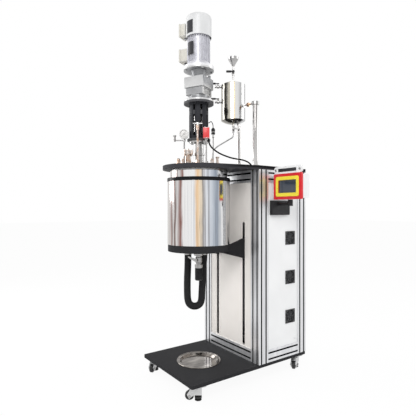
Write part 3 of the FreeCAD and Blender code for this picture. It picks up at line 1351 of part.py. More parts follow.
def make_screen_case():
    """Enclosure with the header strip over it, its rounded ears and two fixing screws."""
    left, right = screen_left + 8, screen_right - 8
    back = s.screen_y + s.screen_frame + s.screen_case
    case = block(left, right, s.screen_y + s.screen_frame, back, screen_base, s.screen_high - 8)
    body = new_body("Header")
    ear = s.title_high / 2
    middle = title_base + ear
    x_low, x_high = screen_left + ear - 4, screen_right - ear + 4
    strip = outline(new_sketch(body, "XZ", -s.screen_y - 4), [
        (x_low, title_base), (x_high, title_base, ear * 1.04), (x_high + ear - 4, middle, ear * 1.04),
        (x_high, title_base + s.title_high), (x_low, title_base + s.title_high, ear * 1.04),
        (x_low - ear + 4, middle, ear * 1.04)])
    feature = pad(body, strip, s.screen_frame)
    feature.Reversed = True
    backing = block(left + 20, right - 20, s.screen_y + s.screen_frame,
                    s.screen_y + s.screen_frame + 8, s.screen_high - 20, title_base + 10)
    screws = [cylinder(6, 3, x, s.screen_y + 4, middle, "-y") for x in (x_low, x_high)]
    boss = cylinder(s.swivel_radius + 6, 8.7, swivel_x, s.arm_y, screen_base - 8.7)
    socket = cylinder(7 + s.running_gap, 14, swivel_x, s.arm_y, screen_base - 9)
    node(cut(fuse(case, body, backing, boss, *screws), socket), "screen_case")


def make_screen_front():
    """Red frame plate, the rounded yellow bezel on it and the display behind the bezel."""
    face = s.screen_y
    centre_x = (screen_left + screen_right) / 2
    centre_z = (s.screen_low + s.screen_high) / 2
    frame = new_body("ScreenFrame")
    reach_x, reach_z, corner = s.screen_wide / 2, (s.screen_high - s.screen_low) / 2, 8
    shape = outline(new_sketch(frame, "XZ", -face), soft_corners(centre_x, centre_z, reach_x,
                                                                 reach_z, corner))
    outline(shape, soft_corners(centre_x, centre_z, s.display_wide / 2, s.display_high / 2, 2))
    feature = pad(frame, shape, s.screen_frame)
    feature.Reversed = True
    bezel = new_body("Bezel")
    shape = outline(new_sketch(bezel, "XZ", 4 - face), soft_corners(
        centre_x, centre_z, s.bezel_wide / 2, s.bezel_high / 2, 12))
    outline(shape, soft_corners(centre_x, centre_z, s.display_wide / 2, s.display_high / 2, 2))
    feature = pad(bezel, shape, 4)
    feature.Reversed = True
    display = block(centre_x - s.display_wide / 2, centre_x + s.display_wide / 2,
                    face + s.screen_frame / 2, face + s.screen_frame,
                    centre_z - s.display_high / 2, centre_z + s.display_high / 2)
    node(group(frame, bezel, display), "screen_front")


def soft_corners(x, z, reach_x, reach_z, corner):
    """Outline points of a rectangle with round corners."""
    return [(x - reach_x + corner, z - reach_z), (x + reach_x - corner, z - reach_z, corner),
            (x + reach_x, z - reach_z + corner), (x + reach_x, z + reach_z - corner, corner),
            (x + reach_x - corner, z + reach_z), (x - reach_x + corner, z + reach_z, corner),
            (x - reach_x, z + reach_z - corner), (x - reach_x, z - reach_z + corner, corner)]


# Cables that lie free

def make_cables():
    """Cable from the transmitter's head to its gland on the top plate, and the thermocouple's
    short cable to the lantern."""
    for label, route, radius in (("sensor_cable", SENSOR_ROUTE, s.cable_radius),
                                 ("plug_cable", PLUG_ROUTE, s.plug_cable_radius)):
        node(pipe(label, [Vector(*point) for point in route], radius.value), label)


make_base_plate()
make_drip_tray()
make_caster_plates()
for caster, (caster_x, caster_y, caster_turn) in CASTERS.items():
    make_caster(caster, caster_x, caster_y, caster_turn)
make_frame()
make_front_panel()
make_side_panels()
make_fan_frames()
for place, rotor in enumerate(("fan_upper", "fan_middle", "fan_lower")):
    make_fan_rotor(rotor, s.fan_high - place * s.fan_pitch)
make_top_plate()
make_lid()
make_lid_bolts()
make_vessel()
make_carrier()
make_lift_guides()
make_discharge_valve()
make_hose()
make_drive_neck()
make_lantern()
make_gearbox()
make_adaptor()
make_motor()
make_fan_cowl()
make_cooling_fan()
make_stirrer()
make_lid_ports()
make_t_handle()
make_pressure_gauge()
make_sensor_head()
make_thermocouple()
make_tank()
make_tank_fittings()
make_tank_levers()
make_posts()
make_bracket()
make_screen_case()
make_screen_front()
make_cables()
doc.recompute()

for thing in doc.Objects:
    if "Invalid" in thing.State or "Error" in thing.State:
        raise ValueError("%s (%s) did not build" % (thing.Name, thing.Label))
for label, thing in nodes.items():
    if thing.Shape.isNull() or not thing.Shape.isValid() or not thing.Shape.Solids:
        raise ValueError(label + " has no valid solid")
os.makedirs("parts", exist_ok=True)
for label, thing in nodes.items():
    thing.Shape.exportStep("parts/%s.step" % label)
print(len(nodes), "nodes written")
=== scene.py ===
"""Looks of the high-pressure reactor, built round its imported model.

Metres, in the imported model's frame. Plan positions in the helpers are millimetres from the
vessel's axis, as the part's own source has them, and heights are millimetres from the floor.
"""
import math

import bmesh
import bpy
from mathutils import Matrix, Vector


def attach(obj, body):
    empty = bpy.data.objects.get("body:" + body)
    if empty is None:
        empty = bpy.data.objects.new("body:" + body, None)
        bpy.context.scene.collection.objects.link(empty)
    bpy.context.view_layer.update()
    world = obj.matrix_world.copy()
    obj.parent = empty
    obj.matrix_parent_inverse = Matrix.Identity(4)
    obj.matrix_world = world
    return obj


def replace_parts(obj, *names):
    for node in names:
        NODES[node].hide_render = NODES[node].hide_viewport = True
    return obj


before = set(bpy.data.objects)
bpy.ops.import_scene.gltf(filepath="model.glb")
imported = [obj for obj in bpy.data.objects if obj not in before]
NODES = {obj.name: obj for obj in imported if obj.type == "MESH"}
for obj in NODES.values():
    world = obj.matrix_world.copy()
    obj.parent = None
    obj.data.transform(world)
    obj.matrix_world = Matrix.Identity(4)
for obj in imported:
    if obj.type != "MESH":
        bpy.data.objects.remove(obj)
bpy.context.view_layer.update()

AXIS = (-127.5, -225.5)
TANK = (52, 250)
TALL_POST = (230, 290)
CORNER = math.radians(54.4)
DRIVE_TURN = math.radians(26.7)
EYE = (2134, -1453, 1107)
LENS = 33.92
SENSOR = 36
WORN_EDGE = (0.53, 0.6)


def at(x, y, z):
    """Point in metres from millimetres measured from the vessel's axis."""
    return Vector(((AXIS[0] + x) / 1000, (AXIS[1] + y) / 1000, z / 1000))


def plan(across, toward):
    """Plan position across the front right corner and towards it, in millimetres."""
    return (across * math.cos(CORNER) + toward * math.sin(CORNER),
            across * math.sin(CORNER) - toward * math.cos(CORNER))


# Materials

def link(tree, start, end):
    """Join an output to an input."""
    tree.links.new(start, end)


def add(tree, kind, **values):
    """A node with some of its properties or inputs set by name."""
    item = tree.nodes.new("ShaderNode" + kind)
    for name, value in values.items():
        if hasattr(item, name):
            setattr(item, name, value)
        else:
            item.inputs[name.replace("_", " ")].default_value = value
    return item


def ramp(tree, source, stops):
    """Colour ramp over a value: (place, colour) stops."""
    item = add(tree, "ValToRGB")
    elements = item.color_ramp.elements
    elements[0].position, elements[0].color = stops[0][0], (*stops[0][1], 1)
    elements[1].position, elements[1].color = stops[-1][0], (*stops[-1][1], 1)
    for place, colour in stops[1:-1]:
        elements.new(place).color = (*colour, 1)
    link(tree, source, item.inputs["Fac"])
    return item.outputs["Color"]


def spread(tree, source, low, high, start=0.0, end=1.0):
    """The value from start to end mapped to low and high."""
    item = add(tree, "MapRange")
    item.inputs["From Min"].default_value = start
    item.inputs["From Max"].default_value = end
    item.inputs["To Min"].default_value = low
    item.inputs["To Max"].default_value = high
    link(tree, source, item.inputs["Value"])
    return item.outputs["Result"]


def noise(tree, vector, scale, detail):
    """Noise over a vector, from 0 to 1."""
    item = add(tree, "TexNoise", Scale=scale, Detail=detail)
    link(tree, vector, item.inputs["Vector"])
    return item.outputs["Fac"]


def surface(name, colour, darker=None, metal=0.0, rough=(0.4, 0.5), grain=60, stretch=(1, 1, 1),
            bump=0.05, bump_grain=400, coat=0.0, edge=0.0008, specular=0.5, wear=None):
    """Procedural finish: colour that varies over the piece, roughness in patches, a fine
    surface grain, softened edges, and worn edges where a wear colour is given."""
    material = bpy.data.materials.new(name)
    material.use_nodes = True
    tree = material.node_tree
    shader = tree.nodes["Principled BSDF"]
    shader.inputs["Metallic"].default_value = metal
    shader.inputs["Coat Weight"].default_value = coat
    shader.inputs["Coat Roughness"].default_value = 0.12
    shader.inputs["Specular IOR Level"].default_value = specular
    place = add(tree, "TexCoord").outputs["Object"]
    mapping = add(tree, "Mapping")
    mapping.inputs["Scale"].default_value = stretch
    link(tree, place, mapping.inputs["Vector"])
    patchy = noise(tree, mapping.outputs["Vector"], grain, 4)
    darker = darker or tuple(c * 0.86 for c in colour)
    tone = ramp(tree, patchy, [(0.3, darker), (0.7, colour)])
    if wear:
        pointed = add(tree, "NewGeometry").outputs["Pointiness"]
        blend = add(tree, "Mix", data_type="RGBA")
        link(tree, spread(tree, pointed, 0, 1, *WORN_EDGE), blend.inputs["Factor"])
        link(tree, tone, blend.inputs[6])
        blend.inputs[7].default_value = (*wear, 1)
        tone = blend.outputs[2]
    link(tree, tone, shader.inputs["Base Color"])
    link(tree, spread(tree, patchy, *rough), shader.inputs["Roughness"])
    relief = add(tree, "Bump")
    relief.inputs["Strength"].default_value = bump
    relief.inputs["Distance"].default_value = 0.001
    fine = noise(tree, mapping.outputs["Vector"], bump_grain, 3)
    link(tree, fine, relief.inputs["Height"])
    if edge:
        soft = add(tree, "Bevel", samples=4)
        soft.inputs["Radius"].default_value = edge
        link(tree, soft.outputs["Normal"], relief.inputs["Normal"])
    link(tree, relief.outputs["Normal"], shader.inputs["Normal"])
    return material


black_plate = surface("black_plate", (0.013, 0.013, 0.0145), (0.008, 0.008, 0.009),
                      rough=(0.34, 0.46), grain=9, bump=0.12, bump_grain=900, edge=0.0012,
                      specular=0.01, wear=(0.05, 0.05, 0.055))
deep_black = surface("deep_black", (0.0055, 0.0055, 0.006), (0.0035, 0.0035, 0.004),
                     rough=(0.32, 0.44), grain=9, bump=0.12, bump_grain=900, edge=0.0012,
                     specular=0.012, wear=(0.03, 0.03, 0.032))
lantern_coat = surface("lantern_coat", (0.034, 0.035, 0.04), (0.022, 0.023, 0.027),
                       rough=(0.34, 0.46), grain=9, bump=0.12, bump_grain=900, edge=0.0012,
                       specular=0.06, wear=(0.08, 0.08, 0.085))
black_gloss = surface("black_gloss", (0.012, 0.012, 0.014), (0.008, 0.008, 0.009),
                      rough=(0.16, 0.26), grain=14, bump=0.04, coat=0.05, edge=0.0012,
                      specular=0.05)
black_plastic = surface("black_plastic", (0.02, 0.02, 0.022), (0.013, 0.013, 0.014),
                        rough=(0.42, 0.55), grain=40, bump=0.1, bump_grain=1200, specular=0.25)
fan_plastic = surface("fan_plastic", (0.03, 0.03, 0.032), (0.02, 0.02, 0.021),
                      rough=(0.4, 0.5), grain=50, bump=0.06, bump_grain=1000, edge=0.0006)
rotor_plastic = surface("rotor_plastic", (0.1, 0.105, 0.115), (0.07, 0.073, 0.08),
                        rough=(0.35, 0.45), grain=50, bump=0.05, bump_grain=1000, edge=0.0006)
foam = surface("foam", (0.018, 0.018, 0.019), (0.008, 0.008, 0.009), rough=(0.75, 0.92), grain=45,
               bump=0.55, bump_grain=520, edge=0, specular=0.3)
cable = surface("cable", (0.008, 0.008, 0.009), (0.005, 0.005, 0.006), rough=(0.4, 0.55), grain=80,
                bump=0.05, edge=0, specular=0.12)
satin = surface("satin_steel", (0.5, 0.495, 0.49), (0.3, 0.295, 0.29), metal=1,
                rough=(0.2, 0.3), grain=32, stretch=(1, 1, 0.1), bump=0.02, bump_grain=300,
                edge=0.0006)
# Polished steel: its dark upright streaks are partly polishing lines and partly painted reflection
polished_with_painted_reflection = surface("polished_steel", (0.74, 0.73, 0.72), (0.3, 0.29, 0.285), metal=1,
                   rough=(0.06, 0.13), grain=22, stretch=(1, 1, 0.12), bump=0.012, edge=0.0008)
tray_steel = surface("tray_steel", (0.33, 0.305, 0.28), (0.1, 0.088, 0.08), metal=1,
                     rough=(0.08, 0.16), grain=26, stretch=(1, 0.35, 1), bump=0.02, edge=0.0008)
warm_steel = surface("warm_steel", (0.6, 0.59, 0.58), (0.4, 0.25, 0.16), metal=1,
                     rough=(0.14, 0.24), grain=38, bump=0.02, edge=0.0006)
gauge_steel = surface("gauge_steel", (0.34, 0.335, 0.33), (0.22, 0.215, 0.21), metal=1,
                      rough=(0.2, 0.3), grain=50, bump=0.02, edge=0.0006)
anodised = surface("anodised", (0.8, 0.805, 0.82), (0.66, 0.665, 0.685), metal=0.75,
                   rough=(0.3, 0.4), grain=10, stretch=(6, 6, 0.4), bump=0.04, bump_grain=420,
                   edge=0.0006)
white_coat = surface("white_coat", (0.86, 0.865, 0.87), (0.81, 0.815, 0.82), rough=(0.38, 0.5),
                     grain=5, bump=0.08, bump_grain=850, edge=0.001)
warm_coat = surface("warm_coat", (0.89, 0.85, 0.81), (0.83, 0.79, 0.75), rough=(0.36, 0.48),
                    grain=4, bump=0.08, bump_grain=850, edge=0.001)
motor_paint = surface("motor_paint", (0.64, 0.64, 0.68), (0.5, 0.5, 0.54), metal=0.3,
                      rough=(0.32, 0.44), grain=18, bump=0.12, bump_grain=420,
                      wear=(0.76, 0.76, 0.78))
gear_paint = surface("gear_paint", (0.29, 0.295, 0.305), (0.21, 0.215, 0.225), metal=0.3,
                     rough=(0.3, 0.42), grain=22, bump=0.2, bump_grain=330, wear=(0.6, 0.6, 0.6))
box_beige = surface("box_beige", (0.66, 0.64, 0.58), (0.58, 0.56, 0.5), rough=(0.4, 0.52), grain=30,
                    bump=0.08, bump_grain=600)
cowl_white = surface("cowl_white", (0.69, 0.695, 0.7), (0.61, 0.615, 0.62), rough=(0.3, 0.42),
                     grain=12, bump=0.06, bump_grain=500)
coral = surface("coral", (0.78, 0.045, 0.05), (0.66, 0.03, 0.035), rough=(0.28, 0.4), grain=40,
                bump=0.05, bump_grain=900, coat=0.15)
frame_red = surface("frame_red", (0.72, 0.01, 0.018), (0.62, 0.008, 0.014), rough=(0.26, 0.36),
                    grain=20, bump=0.05, bump_grain=900, coat=0.2)
bezel_yellow = surface("bezel_yellow", (0.93, 0.78, 0.055), (0.86, 0.7, 0.04), rough=(0.3, 0.4),
                       grain=20, bump=0.04, bump_grain=900, coat=0.15)
display_glass = surface("display_glass", (0.05, 0.062, 0.085), (0.03, 0.04, 0.058),
                        rough=(0.06, 0.12), grain=6, bump=0.0, coat=0.6, edge=0)
die_cast = surface("die_cast", (0.42, 0.425, 0.43), (0.24, 0.245, 0.25), metal=0.6,
                   rough=(0.36, 0.52), grain=60, bump=0.25, bump_grain=500, wear=(0.6, 0.6, 0.6))
nylon = surface("nylon", (0.02, 0.02, 0.02), (0.012, 0.012, 0.012), rough=(0.4, 0.55), grain=60,
                bump=0.08, bump_grain=800)
rubber = surface("rubber", (0.022, 0.022, 0.022), (0.014, 0.014, 0.014), rough=(0.6, 0.75),
                 grain=60, bump=0.15, bump_grain=700)
dial_white = surface("dial_white", (0.66, 0.66, 0.66), (0.58, 0.58, 0.58), rough=(0.4, 0.5),
                     grain=60, bump=0.02, edge=0)
brass_tone = surface("brass_tone", (0.62, 0.36, 0.2), (0.46, 0.25, 0.13), metal=1,
                     rough=(0.25, 0.35), grain=40, bump=0.05)
dark_plate = surface("dark_plate", (0.035, 0.035, 0.04), (0.025, 0.025, 0.03), metal=0.4,
                     rough=(0.3, 0.4), grain=60, bump=0.03)
# near-black for the slot strips: partly their own colour, partly painted shade in the slots
slot_black_and_painted_shade = surface("slot_black_and_painted_shade", (0.004, 0.004, 0.005), (0.003, 0.003, 0.004), rough=(0.6, 0.7),
                    grain=60, bump=0.03, edge=0, specular=0.02)


# Painted reflections: tones round a shell, from its left outline to its right one as the front
# right corner sees it
JACKET_PAINTED_REFLECTION = [
    (0.02, (0.3, 0.25, 0.22)), (0.08, (0.66, 0.63, 0.6)), (0.15, (0.66, 0.62, 0.6)),
    (0.175, (0.3, 0.2, 0.18)), (0.205, (0.72, 0.7, 0.69)), (0.226, (0.13, 0.06, 0.045)),
    (0.252, (0.78, 0.77, 0.76)), (0.298, (0.24, 0.1, 0.08)), (0.322, (0.84, 0.83, 0.83)),
    (0.435, (0.86, 0.86, 0.86)), (0.455, (0.82, 0.55, 0.32)), (0.485, (0.87, 0.74, 0.57)),
    (0.51, (0.33, 0.31, 0.3)), (0.53, (0.74, 0.75, 0.78)), (0.59, (0.6, 0.64, 0.7)),
    (0.65, (0.27, 0.31, 0.37)), (0.7, (0.8, 0.8, 0.8)), (0.86, (0.7, 0.7, 0.7)),
    (0.885, (0.12, 0.1, 0.1)), (0.92, (0.6, 0.6, 0.6))]
TANK_PAINTED_REFLECTION = [
    (0.02, (0.3, 0.28, 0.24)), (0.12, (0.22, 0.21, 0.19)), (0.19, (0.3, 0.29, 0.26)),
    (0.24, (0.12, 0.115, 0.1)), (0.29, (0.5, 0.48, 0.42)), (0.35, (0.62, 0.58, 0.48)),
    (0.4, (0.86, 0.86, 0.85)), (0.445, (0.84, 0.83, 0.8)), (0.462, (0.82, 0.62, 0.38)),
    (0.49, (0.87, 0.77, 0.6)), (0.51, (0.8, 0.8, 0.79)), (0.57, (0.74, 0.74, 0.74)),
    (0.63, (0.5, 0.5, 0.5)), (0.68, (0.62, 0.62, 0.61)), (0.75, (0.4, 0.4, 0.4)),
    (0.82, (0.7, 0.7, 0.7)), (0.88, (0.3, 0.3, 0.3)), (0.93, (0.5, 0.5, 0.5))]
# Angles round each axis that the painted reflection bands span
PAINTED_REFLECTION_SPAN = (math.radians(-119.4), math.radians(70.6))


def painted_reflection_shell(name, x, y, reflection_tones, rough):
    """Polished shell with upright bands of painted reflection round its axis and fine polishing
    lines. The painted reflections are fixed to the piece and are the same from every side."""
    material = surface(name, (0.7, 0.69, 0.68), metal=1, rough=rough, grain=14,
                       stretch=(1, 1, 0.12), bump=0.01, edge=0.001)
    tree = material.node_tree
    shader = tree.nodes["Principled BSDF"]
    place = add(tree, "TexCoord").outputs["Object"]
    shift = add(tree, "Mapping")
    shift.inputs["Location"].default_value = (-at(x, y, 0).x, -at(x, y, 0).y, 0)
    link(tree, place, shift.inputs["Vector"])
    parts = add(tree, "SeparateXYZ")
    link(tree, shift.outputs["Vector"], parts.inputs["Vector"])
    turn = add(tree, "Math", operation="ARCTAN2")
    link(tree, parts.outputs["Y"], turn.inputs[0])
    link(tree, parts.outputs["X"], turn.inputs[1])
    round_about = add(tree, "CombineXYZ")
    link(tree, turn.outputs["Value"], round_about.inputs["X"])
    link(tree, parts.outputs["Z"], round_about.inputs["Z"])
    shifted = add(tree, "Math", operation="MULTIPLY_ADD")
    link(tree, noise(tree, round_about.outputs["Vector"], 5, 3), shifted.inputs[0])
    shifted.inputs[1].default_value = 0.16
    link(tree, turn.outputs["Value"], shifted.inputs[2])
    across = spread(tree, shifted.outputs["Value"], 0, 1, *PAINTED_REFLECTION_SPAN)
    # painted reflection: bands of light and dark tone laid into the base colour
    bands = ramp(tree, across, reflection_tones)
    squeeze = add(tree, "Mapping")
    squeeze.inputs["Scale"].default_value = (16, 1, 0.7)
    link(tree, round_about.outputs["Vector"], squeeze.inputs["Vector"])
    thin = ramp(tree, noise(tree, squeeze.outputs["Vector"], 1, 2), [
        (0.33, (0.36, 0.34, 0.34)), (0.37, (0.95, 0.95, 0.95)), (0.56, (1, 1, 1)),
        (0.6, (0.72, 0.73, 0.76)), (0.64, (1, 1, 1))])
    both = add(tree, "Mix", data_type="RGBA", blend_type="MULTIPLY")
    both.inputs["Factor"].default_value = 1
    link(tree, bands, both.inputs[6])
    link(tree, thin, both.inputs[7])
    link(tree, both.outputs[2], shader.inputs["Base Color"])
    return material


jacket_steel_painted_reflection = painted_reflection_shell("jacket_steel_painted_reflection", 0, 0, JACKET_PAINTED_REFLECTION, (0.07, 0.13))
tank_steel_painted_reflection = painted_reflection_shell("tank_steel_painted_reflection", *TANK, TANK_PAINTED_REFLECTION, (0.13, 0.2))

MATERIALS = {
    "base_plate": deep_black, "caster_plates": die_cast, "flange_ring": black_gloss,
    "carrier": deep_black, "top_plate": black_plate, "lantern": lantern_coat,
    "screen_bracket": black_plastic, "drip_tray": tray_steel, "jacket": jacket_steel_painted_reflection,
    "vessel_pot": jacket_steel_painted_reflection, "dosing_tank": tank_steel_painted_reflection, "frame_profiles": anodised,
    "front_panel": warm_coat, "right_panel": white_coat, "cover_panels": white_coat,
    "screen_case": white_coat, "jacket_hose": foam, "sensor_cable": cable, "plug_cable": cable,
    "motor_housing": motor_paint, "motor_adaptor": gear_paint, "gearbox": gear_paint,
    "fan_cowl": cowl_white, "sensor_head": satin, "screen_front": frame_red,
    "pressure_gauge": gauge_steel, "lid_ports": warm_steel,
    "support_posts": polished_with_painted_reflection, "cooling_fan": fan_plastic, "fan_frames": fan_plastic,
    "fan_upper": rotor_plastic, "fan_middle": rotor_plastic, "fan_lower": rotor_plastic,
    "funnel_lever": black_plastic, "upper_lever": black_plastic, "lower_lever": black_plastic,
    "outlet_lever": satin, "discharge_lever": satin,
}
for label, thing in NODES.items():
    finish = MATERIALS.get(label, satin)
    if label.startswith("caster_") and label != "caster_plates":
        finish = {"housing": die_cast, "wheel": nylon, "foot": rubber}[label.split("_")[-1]]
    thing.data.materials.clear()
    thing.data.materials.append(finish)


# Building helpers

def finished(mesh, name, material, body, smooth=True):
    """The bmesh as an object of the machine that rides on a body."""
    bmesh.ops.recalc_face_normals(mesh, faces=mesh.faces)
    data = bpy.data.meshes.new(name)
    mesh.to_mesh(data)
    mesh.free()
    for face in data.polygons:
        face.use_smooth = smooth
    if smooth:
        data.set_sharp_from_angle(angle=math.radians(38))
    thing = bpy.data.objects.new(name, data)
    bpy.context.scene.collection.objects.link(thing)
    thing.data.materials.append(material)
    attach(thing, body)
    return thing


def turned(mesh, profile, place, segments=64):
    """Add a closed outline of (radius, height) millimetres turned about an axis."""
    rings = []
    for radius, height in profile:
        if radius < 0.01:
            rings.append([mesh.verts.new(place @ Vector((0, 0, height / 1000)))])
            continue
        rings.append([mesh.verts.new(place @ Vector((
            radius / 1000 * math.cos(2 * math.pi * i / segments),
            radius / 1000 * math.sin(2 * math.pi * i / segments), height / 1000)))
            for i in range(segments)])
    for lower, upper in zip(rings, rings[1:] + rings[:1]):
        for i in range(segments):
            j = (i + 1) % segments
            corners = [lower[i % len(lower)], lower[j % len(lower)],
                       upper[j % len(upper)], upper[i % len(upper)]]
            corners = list(dict.fromkeys(corners))
            if len(corners) > 2:
                mesh.faces.new(corners)


def boxed(mesh, low, high, place=None, bevel=0.0):
    """Add a box between two corners in metres, with bevelled edges."""
    size = Vector(high) - Vector(low)
    middle = (Vector(high) + Vector(low)) / 2
    matrix = (place or Matrix()) @ Matrix.Translation(middle) @ Matrix.Diagonal((*size, 1))
    made = bmesh.ops.create_cube(mesh, size=1, matrix=matrix)
    if bevel:
        edges = {edge for vertex in made["verts"] for edge in vertex.link_edges}
        bmesh.ops.bevel(mesh, geom=list(edges), offset=bevel, segments=2, affect="EDGES",
                        profile=0.6)


def facing(point, direction):
    """A place whose own Z axis points in a direction."""
    heading = Vector(direction).to_track_quat("Z", "Y").to_matrix().to_4x4()
    return Matrix.Translation(point) @ heading


# Cords first: each follows its solid's route

SENSOR_ROUTE = [(106, 3, 1548.5), (106, 5, 1527), (104, 19, 1503), (104, 45, 1484),
                (106, 86, 1463), (111, 132, 1449), (120, 178, 1437), (130, 223, 1432),
                (141, 262, 1428), (152, 295, 1416), (159, 314, 1401), (161, 321, 1389.3)]
PLUG_ROUTE = [(18.8, 60.7, 1672), (22.3, 71.9, 1672), (12, 84, 1685), (-6, 108, 1691),
              (-19, 128, 1681), (-21.5, 133, 1665), (-21.4, 133.3, 1653.2)]
HOSE_LINE = [(-74, 806), (-74, 730), (-78, 645), (-79, 560), (-76, 475), (-49, 446),
             (-11, 446), (17, 472), (20, 548), (24, 625), (24, 700), (34, 765), (34, 806)]
HOSE_ROUTE = [(*plan(across, -60), high) for across, high in HOSE_LINE]


def cord(name, route, radius, material, body):
    """Cord on a smooth line through the route, from the object back into it."""
    curve = bpy.data.curves.new(name, "CURVE")
    curve.dimensions = "3D"
    spline = curve.splines.new("NURBS")
    spline.points.add(len(route) - 1)
    for point, spot in zip(spline.points, route):
        point.co = (*at(*spot), 1)
    spline.order_u = 3
    spline.use_endpoint_u = True
    curve.resolution_u = 14
    curve.bevel_depth = radius
    curve.bevel_resolution = 6
    curve.use_fill_caps = True
    thing = bpy.data.objects.new(name, curve)
    bpy.context.scene.collection.objects.link(thing)
    curve.materials.append(material)
    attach(thing, body)
    return thing


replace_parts(cord("hose", HOSE_ROUTE, 0.0235, foam, "vessel"),
            "jacket_hose")
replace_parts(cord("sensor_lead", SENSOR_ROUTE, 0.005, cable, "machine"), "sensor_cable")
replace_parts(cord("plug_lead", PLUG_ROUTE, 0.0025, cable, "machine"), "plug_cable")


# Black cover strips in the profiles' slots, their black partly painted shade in the slots

def slot_covers_and_painted_shade():
    """Cover strips with flanges over the slots' edges on the front and right faces, and plain sunk
    ones behind and on the left. Their black is partly painted shade in the slots."""
    mesh = bmesh.new()
    half, front, back, low, high = 300, 260, 700, 107, 1354
    rail_start = 81

    def depths(face):
        if face == front:
            return front - 0.45, front - 0.05, 5.4
        if face == half:
            return half + 0.05, half + 0.45, 5.4
        if face == back:
            return back - 2.6, back - 1.4, 3.8
        return 1.4 - half, 2.6 - half, 3.8

    for slot in (20, 60):
        for face in (front, back):
            near, far, wide = depths(face)
            for x in (slot - half, half - slot):
                boxed(mesh, at(x - wide, near, low + 1), at(x + wide, far, high - 1))
            for z in (low + slot, high - slot):
                boxed(mesh, at(rail_start - half, near, z - wide),
                      at(half - rail_start, far, z + wide))
        for face in (half, -half):
            near, far, wide = depths(face)
            for y in (front + slot, back - slot):
                boxed(mesh, at(near, y - wide, low + 1), at(far, y + wide, high - 1))
            for z in (low + slot, high - slot):
                boxed(mesh, at(near, front + rail_start, z - wide),
                      at(far, back - rail_start, z + wide))
    finished(mesh, "slot_covers_and_painted_shade", slot_black_and_painted_shade, "machine", smooth=False)


slot_covers_and_painted_shade()


# Operating panel: red frame, raised yellow bezel and the glass behind it

def rounded_plate(mesh, centre, reach_x, reach_z, corner, front, back, hole=None, soft=0.0012):
    """Upright plate with round corners, its face at front, and a round-cornered hole."""
    def loop(rx, rz, radius):
        spots = []
        for cx, cz, start in ((1, -1, -90), (1, 1, 0), (-1, 1, 90), (-1, -1, 180)):
            for step in range(9):
                angle = math.radians(start + step * 90 / 8)
                spots.append((centre[0] + cx * (rx - radius) + radius * math.cos(angle),
                              centre[1] + cz * (rz - radius) + radius * math.sin(angle)))
        return spots

    outer = loop(reach_x, reach_z, corner)
    tucked = loop(reach_x - soft * 1000, reach_z - soft * 1000, corner - soft * 1000)
    inner = loop(*hole) if hole else None
    loops = [(outer, back), (outer, front + soft * 1000), (tucked, front)]
    if inner:
        loops += [(inner, front), (inner, back)]
    rings = [[mesh.verts.new(at(x, y, z)) for x, z in spots] for spots, y in loops]
    for lower, upper in zip(rings, rings[1:] + (rings[:1] if inner else [])):
        for i in range(len(lower)):
            j = (i + 1) % len(lower)
            mesh.faces.new([lower[i], lower[j], upper[j], upper[i]])
    if not inner:
        mesh.faces.new(rings[-1])
        mesh.faces.new(rings[0])


def operating_panel():
    centre = (437.5, 1242)
    display = (75, 40.5, 2)
    mesh = bmesh.new()
    rounded_plate(mesh, centre, 117.5, 81, 8, 367, 379, display)
    panel = finished(mesh, "panel_frame", frame_red, "screen")
    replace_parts(panel, "screen_front")
    mesh = bmesh.new()
    rounded_plate(mesh, centre, 95, 62.5, 12, 363, 367, display)
    finished(mesh, "panel_bezel", bezel_yellow, "screen")
    mesh = bmesh.new()
    rounded_plate(mesh, centre, *display, 373, 379, soft=0.0005)
    finished(mesh, "panel_display", display_glass, "screen")


operating_panel()


# Gauge's dial with its divisions and pointer

def gauge_dial():
    x, y = plan(-95, 20)
    centre = at(x, y, 1587)
    toward = Vector((math.sin(CORNER), -math.cos(CORNER), 0))
    place = facing(centre + toward * 0.0122, toward)
    mesh = bmesh.new()
    turned(mesh, [(0, 0), (25.3, 0), (25.3, 0.6), (0, 0.6)], place)
    finished(mesh, "gauge_dial", dial_white, "machine")
    mesh = bmesh.new()
    for step in range(31):
        angle = math.radians(225 - step * 9)
        inner = 18.5 if step % 5 == 0 else 20.5
        mark = place @ Matrix.Rotation(angle, 4, "Z")
        boxed(mesh, (inner / 1000, -0.0004, 0.0006), (0.0233, 0.0004, 0.0009), mark)
    needle = place @ Matrix.Rotation(math.radians(222), 4, "Z")
    boxed(mesh, (-0.006, -0.0007, 0.0012), (0.02, 0.0007, 0.0018), needle)
    turned(mesh, [(0, 0.6), (2.6, 0.6), (2.6, 2.4), (0, 2.4)], place, 20)
    finished(mesh, "gauge_marks", black_plastic, "machine")


gauge_dial()


# Covers and trim that give part of a node its own finish, a hair proud of the solid

DRIVE = Matrix.Translation(at(0, 0, 0)) @ Matrix.Rotation(DRIVE_TURN, 4, "Z")


def millimetres(*values):
    """Millimetres as metres."""
    return tuple(value / 1000 for value in values)


def terminal_boxes():
    """Both boxes on the motor's side, with their lids, screws and glands."""
    body, lids, trim = bmesh.new(), bmesh.new(), bmesh.new()
    for low, high, inside in ((2076, 2161, -68), (2244, 2330, -84.2)):
        boxed(body, millimetres(-122.4, -36.4, low + 2.6), millimetres(inside, 36.4, high - 2.6),
              DRIVE, 0.003)
        boxed(lids, millimetres(-130.4, -40.4, low - 0.4), millimetres(-121.6, 40.4, high + 0.4),
              DRIVE, 0.002)
        for y in (-33, 33):
            for z in (low + 8, high - 8):
                spot = DRIVE @ Vector(millimetres(-131.2, y, z))
                turned(trim, [(0, 0), (3.2, 0), (3.2, 1.2), (2.4, 1.6), (0, 1.6)],
                       facing(spot, DRIVE.to_3x3() @ Vector((1, 0, 0))), 12)
        spot = DRIVE @ Vector(millimetres(-100, 0, 0))
        turned(trim, [(0, low - 11.5), (7.4, low - 11.5), (9.4, low - 8), (9.4, low - 2),
                      (8, low + 2.5), (0, low + 2.5)], Matrix.Translation(spot), 16)
    finished(body, "terminal_bodies", box_beige, "machine")
    finished(lids, "terminal_lids", box_beige, "machine")
    finished(trim, "terminal_trim", black_plastic, "machine")


